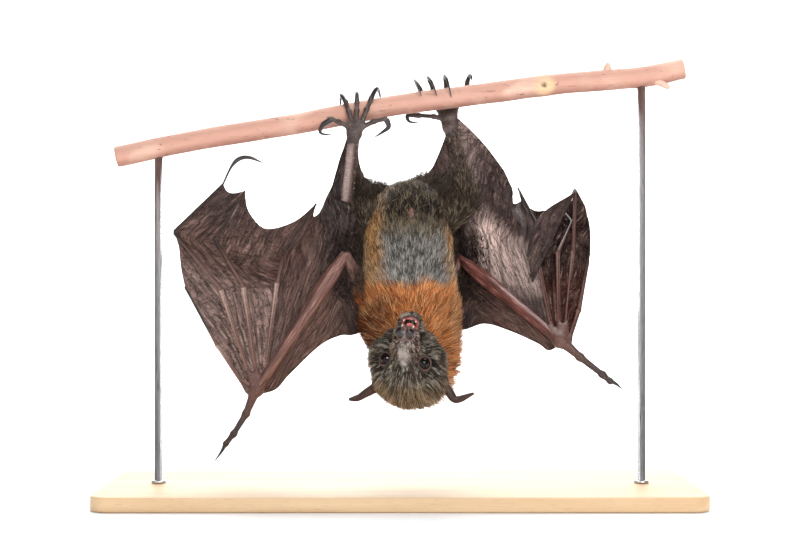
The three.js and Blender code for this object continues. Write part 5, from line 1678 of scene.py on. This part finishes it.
def perch():
    """The branch with its knob and stub, painted shade on its underside, and the hollow of a lost side
    branch, darkened with painted shade.
    """
    t = np.linspace(0, 1, 230)
    path = smooth(PERCH_LINE, t)
    x = path[:, 0]
    radius = PERCH_RADIUS * (0.99 + 0.02 * np.exp(-((x - 200) / 12) ** 2)
                             + 0.05 * np.exp(-((x - 139) / 9) ** 2))
    branch = wood(path, radius, 40, 21)
    knot = np.array([139.0, -9.2, 399.0])
    away = np.linalg.norm(branch["points"] - knot, axis=1)
    hollow = 2.6 * np.exp(-(away / 3.0) ** 2) - 1.0 * np.exp(-((away - 5.5) / 2.0) ** 2)
    branch["points"] = branch["points"] + hollow[:, None] * np.array([0, 1.0, 0])
    around = colour(196, 150, 133)
    pale = soft_step(waves(branch["points"][:, 0] / 16, branch["points"][:, 2] / 16
                           + branch["points"][:, 1] / 7, 5), 0.15, 0.75)
    tint = mix(around, colour(218, 180, 161), pale)
    below = np.interp(branch["points"][:, 0], path[:, 0], path[:, 2]) - branch["points"][:, 2]
    # Painted shade: the underside is darker.
    tint = mix(tint, colour(138, 88, 74), soft_step(below, 2, 10) * 0.75)
    tint = mix(tint, colour(226, 196, 150), soft_step(14 - away, 0, 8) * 0.8)
    # Painted shade: the middle of the knot hole is near black.
    branch["tint"] = mix(tint, colour(44, 32, 26), soft_step(3.6 - away, 0, 1.6))
    s = np.linspace(0, 1, 18)
    knob = wood(straight([(200, 0, 406), (201.5, -1, 421)], s),
                values([6.5, 5.4, 4.6, 3.6, 2.0], s), 20, 3, ends=False)
    stub = wood(straight([(243, -2, 408), (260, -6, 396.5)], s),
                values([6.2, 5.0, 4.0, 3.2, 2.2], s), 20, 4, ends=False)
    return [branch, knob, stub]


tree, shader = start_finish("wood", Roughness=0.72, Specular_IOR_Level=0.3)
spot = spot_of(tree)
grain = drawn_out(tree, spot, (60.0, 700.0, 700.0), 5.0, 0.6)
flecks = drawn_out(tree, spot, (150.0, 420.0, 420.0))
blotch = noise(tree, spot, 55.0)
cracks = drawn_out(tree, spot, (18.0, 260.0, 260.0), 4.0, 0.6)
base = laid_over(tree, tint_of(tree), grain, 0.35, 0.7, 0.45, (176, 134, 116))
base = laid_over(tree, base, blotch, 0.5, 0.7, 0.5, (196, 158, 142))
base = laid_over(tree, base, flecks, 0.66, 0.72, 0.75, (78, 58, 48))
base = laid_over(tree, base, cracks, 0.66, 0.7, 0.6, (110, 80, 66))
height = maths(tree, "SUBTRACT", grain, in_range(tree, cracks, 0.64, 0.7))
connect(tree, shader, Base_Color=base, Normal=bump(tree, height, 0.6, 0.8))
put("perch_branch", perch(), ["perch"])

# %% [markdown]
# ## The display stand
#
# A flat wooden base with rounded corners and two thin steel rods. Both are plain, so the eye
# goes to the animal. The base is a stack of rounded rectangles, which gives it a soft edge.

# %% Base and rods
BASE_LENGTH, BASE_DEPTH, BASE_HEIGHT, BASE_CORNER, BASE_BEVEL = 570, 190, 14, 18, 2
ROD_REACH, ROD_RADIUS = 234, 4


def rounded_outline(inset, steps=12):
    """Corner arcs of a rectangle, drawn in by `inset`, joined in one ring."""
    corner = BASE_CORNER - inset
    angle = np.concatenate([np.linspace(k, k + 1, steps) for k in range(4)]) * np.pi / 2
    side = np.repeat([[1, 1], [-1, 1], [-1, -1], [1, -1]], steps, axis=0)
    middle = side * (np.array([BASE_LENGTH, BASE_DEPTH]) / 2 - BASE_CORNER)
    return middle + corner * np.stack([np.cos(angle), np.sin(angle)], axis=1)


def base_slab():
    """Rings from the middle of the underside, round a quarter-circle edge, to the top."""
    turn = np.linspace(0, np.pi / 2, 6)
    inset = np.concatenate([[60, 20], BASE_BEVEL * (1 - np.sin(turn)), BASE_BEVEL * (1 - np.cos(turn)),
                            [20, 60]])
    height = np.concatenate([[0, 0], BASE_BEVEL * (1 - np.cos(turn)),
                             BASE_HEIGHT - BASE_BEVEL * (1 - np.sin(turn)), [BASE_HEIGHT] * 2])
    rings = []
    for gap, z in zip(inset, height):
        flat = rounded_outline(min(gap, BASE_CORNER - 0.5))
        extra = max(gap - BASE_CORNER + 0.5, 0)
        flat = flat * (1 - extra / np.array([BASE_LENGTH, BASE_DEPTH]) * 2)
        rings.append(np.column_stack([flat, np.full(len(flat), z)]))
    ring = np.array(rings)
    points = np.concatenate([ring.reshape(-1, 3), [[0, 0, 0], [0, 0, BASE_HEIGHT]]])
    return shell(points, ring_faces(len(rings), len(rings[0])), colour(214, 186, 150),
                 "base_wood", points)


def rod(way):
    """A steel rod from inside the base up into the perch, with a low collar at its foot."""
    x = way * ROD_REACH
    top = smooth(PERCH_LINE, np.linspace(0, 1, 400))
    top = np.interp(x, top[:, 0], top[:, 2]) - PERCH_RADIUS + 5
    z = np.array([8, 13.9, 14.0, 14.05, 16.2, 16.8, 17.0, 17.05, top])
    radius = np.array([4, 4, 4.2, 7.0, 7.0, 6.4, 4.4, 4, 4.0]) * ROD_RADIUS / 4
    path = np.stack([np.full(len(z), x), 0 * z, z], axis=1)
    return tube(path, radius, 40, colour(186, 186, 188), "steel", round_ends=0.0)


tree, shader = start_finish("base_wood", Roughness=0.5, Specular_IOR_Level=0.4)
spot = spot_of(tree)
year_rings = drawn_out(tree, spot, (3.0, 60.0, 60.0), 4.0, 0.6)
pores = drawn_out(tree, spot, (90.0, 1500.0, 1500.0))
base = laid_over(tree, tint_of(tree), year_rings, 0.3, 0.7, 0.7, (186, 150, 110))
base = laid_over(tree, base, pores, 0.6, 0.75, 0.5, (140, 106, 74))
connect(tree, shader, Base_Color=base, Normal=bump(tree, pores, 0.12, 0.5))

tree, shader = start_finish("steel", Metallic=1.0)
brushed = drawn_out(tree, spot_of(tree), (4000.0, 4000.0, 60.0))
connect(tree, shader, Base_Color=tint_of(tree),
        Roughness=in_range(tree, brushed, 0.3, 0.7, 0.22, 0.42))
put("stand_base_slab", [base_slab()], ["stand_base"])
put("stand_left_rod", [rod(-1)], ["stand_rod_left"])
put("stand_right_rod", [rod(1)], ["stand_rod_right"])

# %% [markdown]
# ## Floor, light and camera
#
# The floor bends up into a white wall behind, as a roll of studio paper does, so no line
# shows between them. Two small soft lamps stand in front on the right and above, a large low
# one on the left fills the shadows, and one lights the paper. The camera looks straight along
# +Y from 1.5 m away.

# %% Studio
def paper_roll():
    """The floor is a profile (y, z) carried along X: flat, a quarter circle, then upright."""
    turn = np.linspace(0, np.pi / 2, 24)
    profile = np.concatenate([[[-4000, -0.4]], np.column_stack([2700 + 900 * np.sin(turn),
                                                               899.6 - 900 * np.cos(turn)]),
                              [[3600, 5000]]])
    x = np.array([-7000, 7000])
    grid = np.stack([np.broadcast_to(x[:, None], (2, len(profile))),
                     np.broadcast_to(profile[:, 0], (2, len(profile))),
                     np.broadcast_to(profile[:, 1], (2, len(profile)))], axis=-1)
    index = np.arange(2 * len(profile)).reshape(2, -1)
    quads = np.stack([index[0, :-1], index[1, :-1], index[1, 1:], index[0, 1:]], axis=-1)
    mesh = bpy.data.meshes.new("studio_paper")
    mesh.from_pydata((grid.reshape(-1, 3) * MM).tolist(), [], quads.tolist())
    mesh.polygons.foreach_set("use_smooth", np.ones(len(quads), bool))
    paper = bpy.data.objects.new("studio_paper", mesh)
    bpy.context.scene.collection.objects.link(paper)
    material = bpy.data.materials.new("paper")
    material.use_nodes = True
    shader = material.node_tree.nodes["Principled BSDF"]
    shader.inputs["Base Color"].default_value = (0.93, 0.93, 0.93, 1)
    shader.inputs["Roughness"].default_value = 0.9
    mesh.materials.append(material)


def lamp(name, place, aim, size, power):
    """A soft square lamp turned to its aim."""
    light = bpy.data.lights.new(name, "AREA")
    light.size = size
    light.energy = power
    holder = bpy.data.objects.new(name, light)
    holder.location = place
    direction = bpy.context.scene.cursor.location.copy()
    direction[:] = [a - p for a, p in zip(aim, place)]
    holder.rotation_euler = direction.to_track_quat("-Z", "Y").to_euler()
    bpy.context.scene.collection.objects.link(holder)


paper_roll()
lamp("key_lamp", (0.35, -1.75, 1.25), (0, 0, 0.22), 0.4, 24)
lamp("second_lamp", (1.0, -1.6, 0.85), (0, 0, 0.22), 0.4, 13)
lamp("fill_lamp", (-1.3, -1.5, 0.6), (0, 0, 0.22), 1.3, 9)
lamp("wall_lamp", (0.0, 1.9, 3.2), (0, 3.6, 0.4), 3.0, 330)
world = bpy.data.worlds.new("studio_air")
world.use_nodes = True
world.node_tree.nodes["Background"].inputs["Color"].default_value = (1, 1, 1, 1)
world.node_tree.nodes["Background"].inputs["Strength"].default_value = 0.14
bpy.context.scene.world = world
bpy.context.scene.view_settings.view_transform = "Standard"

# %% Camera, size and finish
camera_data = bpy.data.cameras.new("camera")
camera_data.lens = 69.6
camera_data.sensor_width = 36
camera_data.clip_end = 20
camera = bpy.data.objects.new("camera", camera_data)
camera.location = (0, -1.5, 0.224)
camera.rotation_euler = (np.pi / 2, 0, 0)
bpy.context.scene.collection.objects.link(camera)
bpy.context.scene.camera = camera
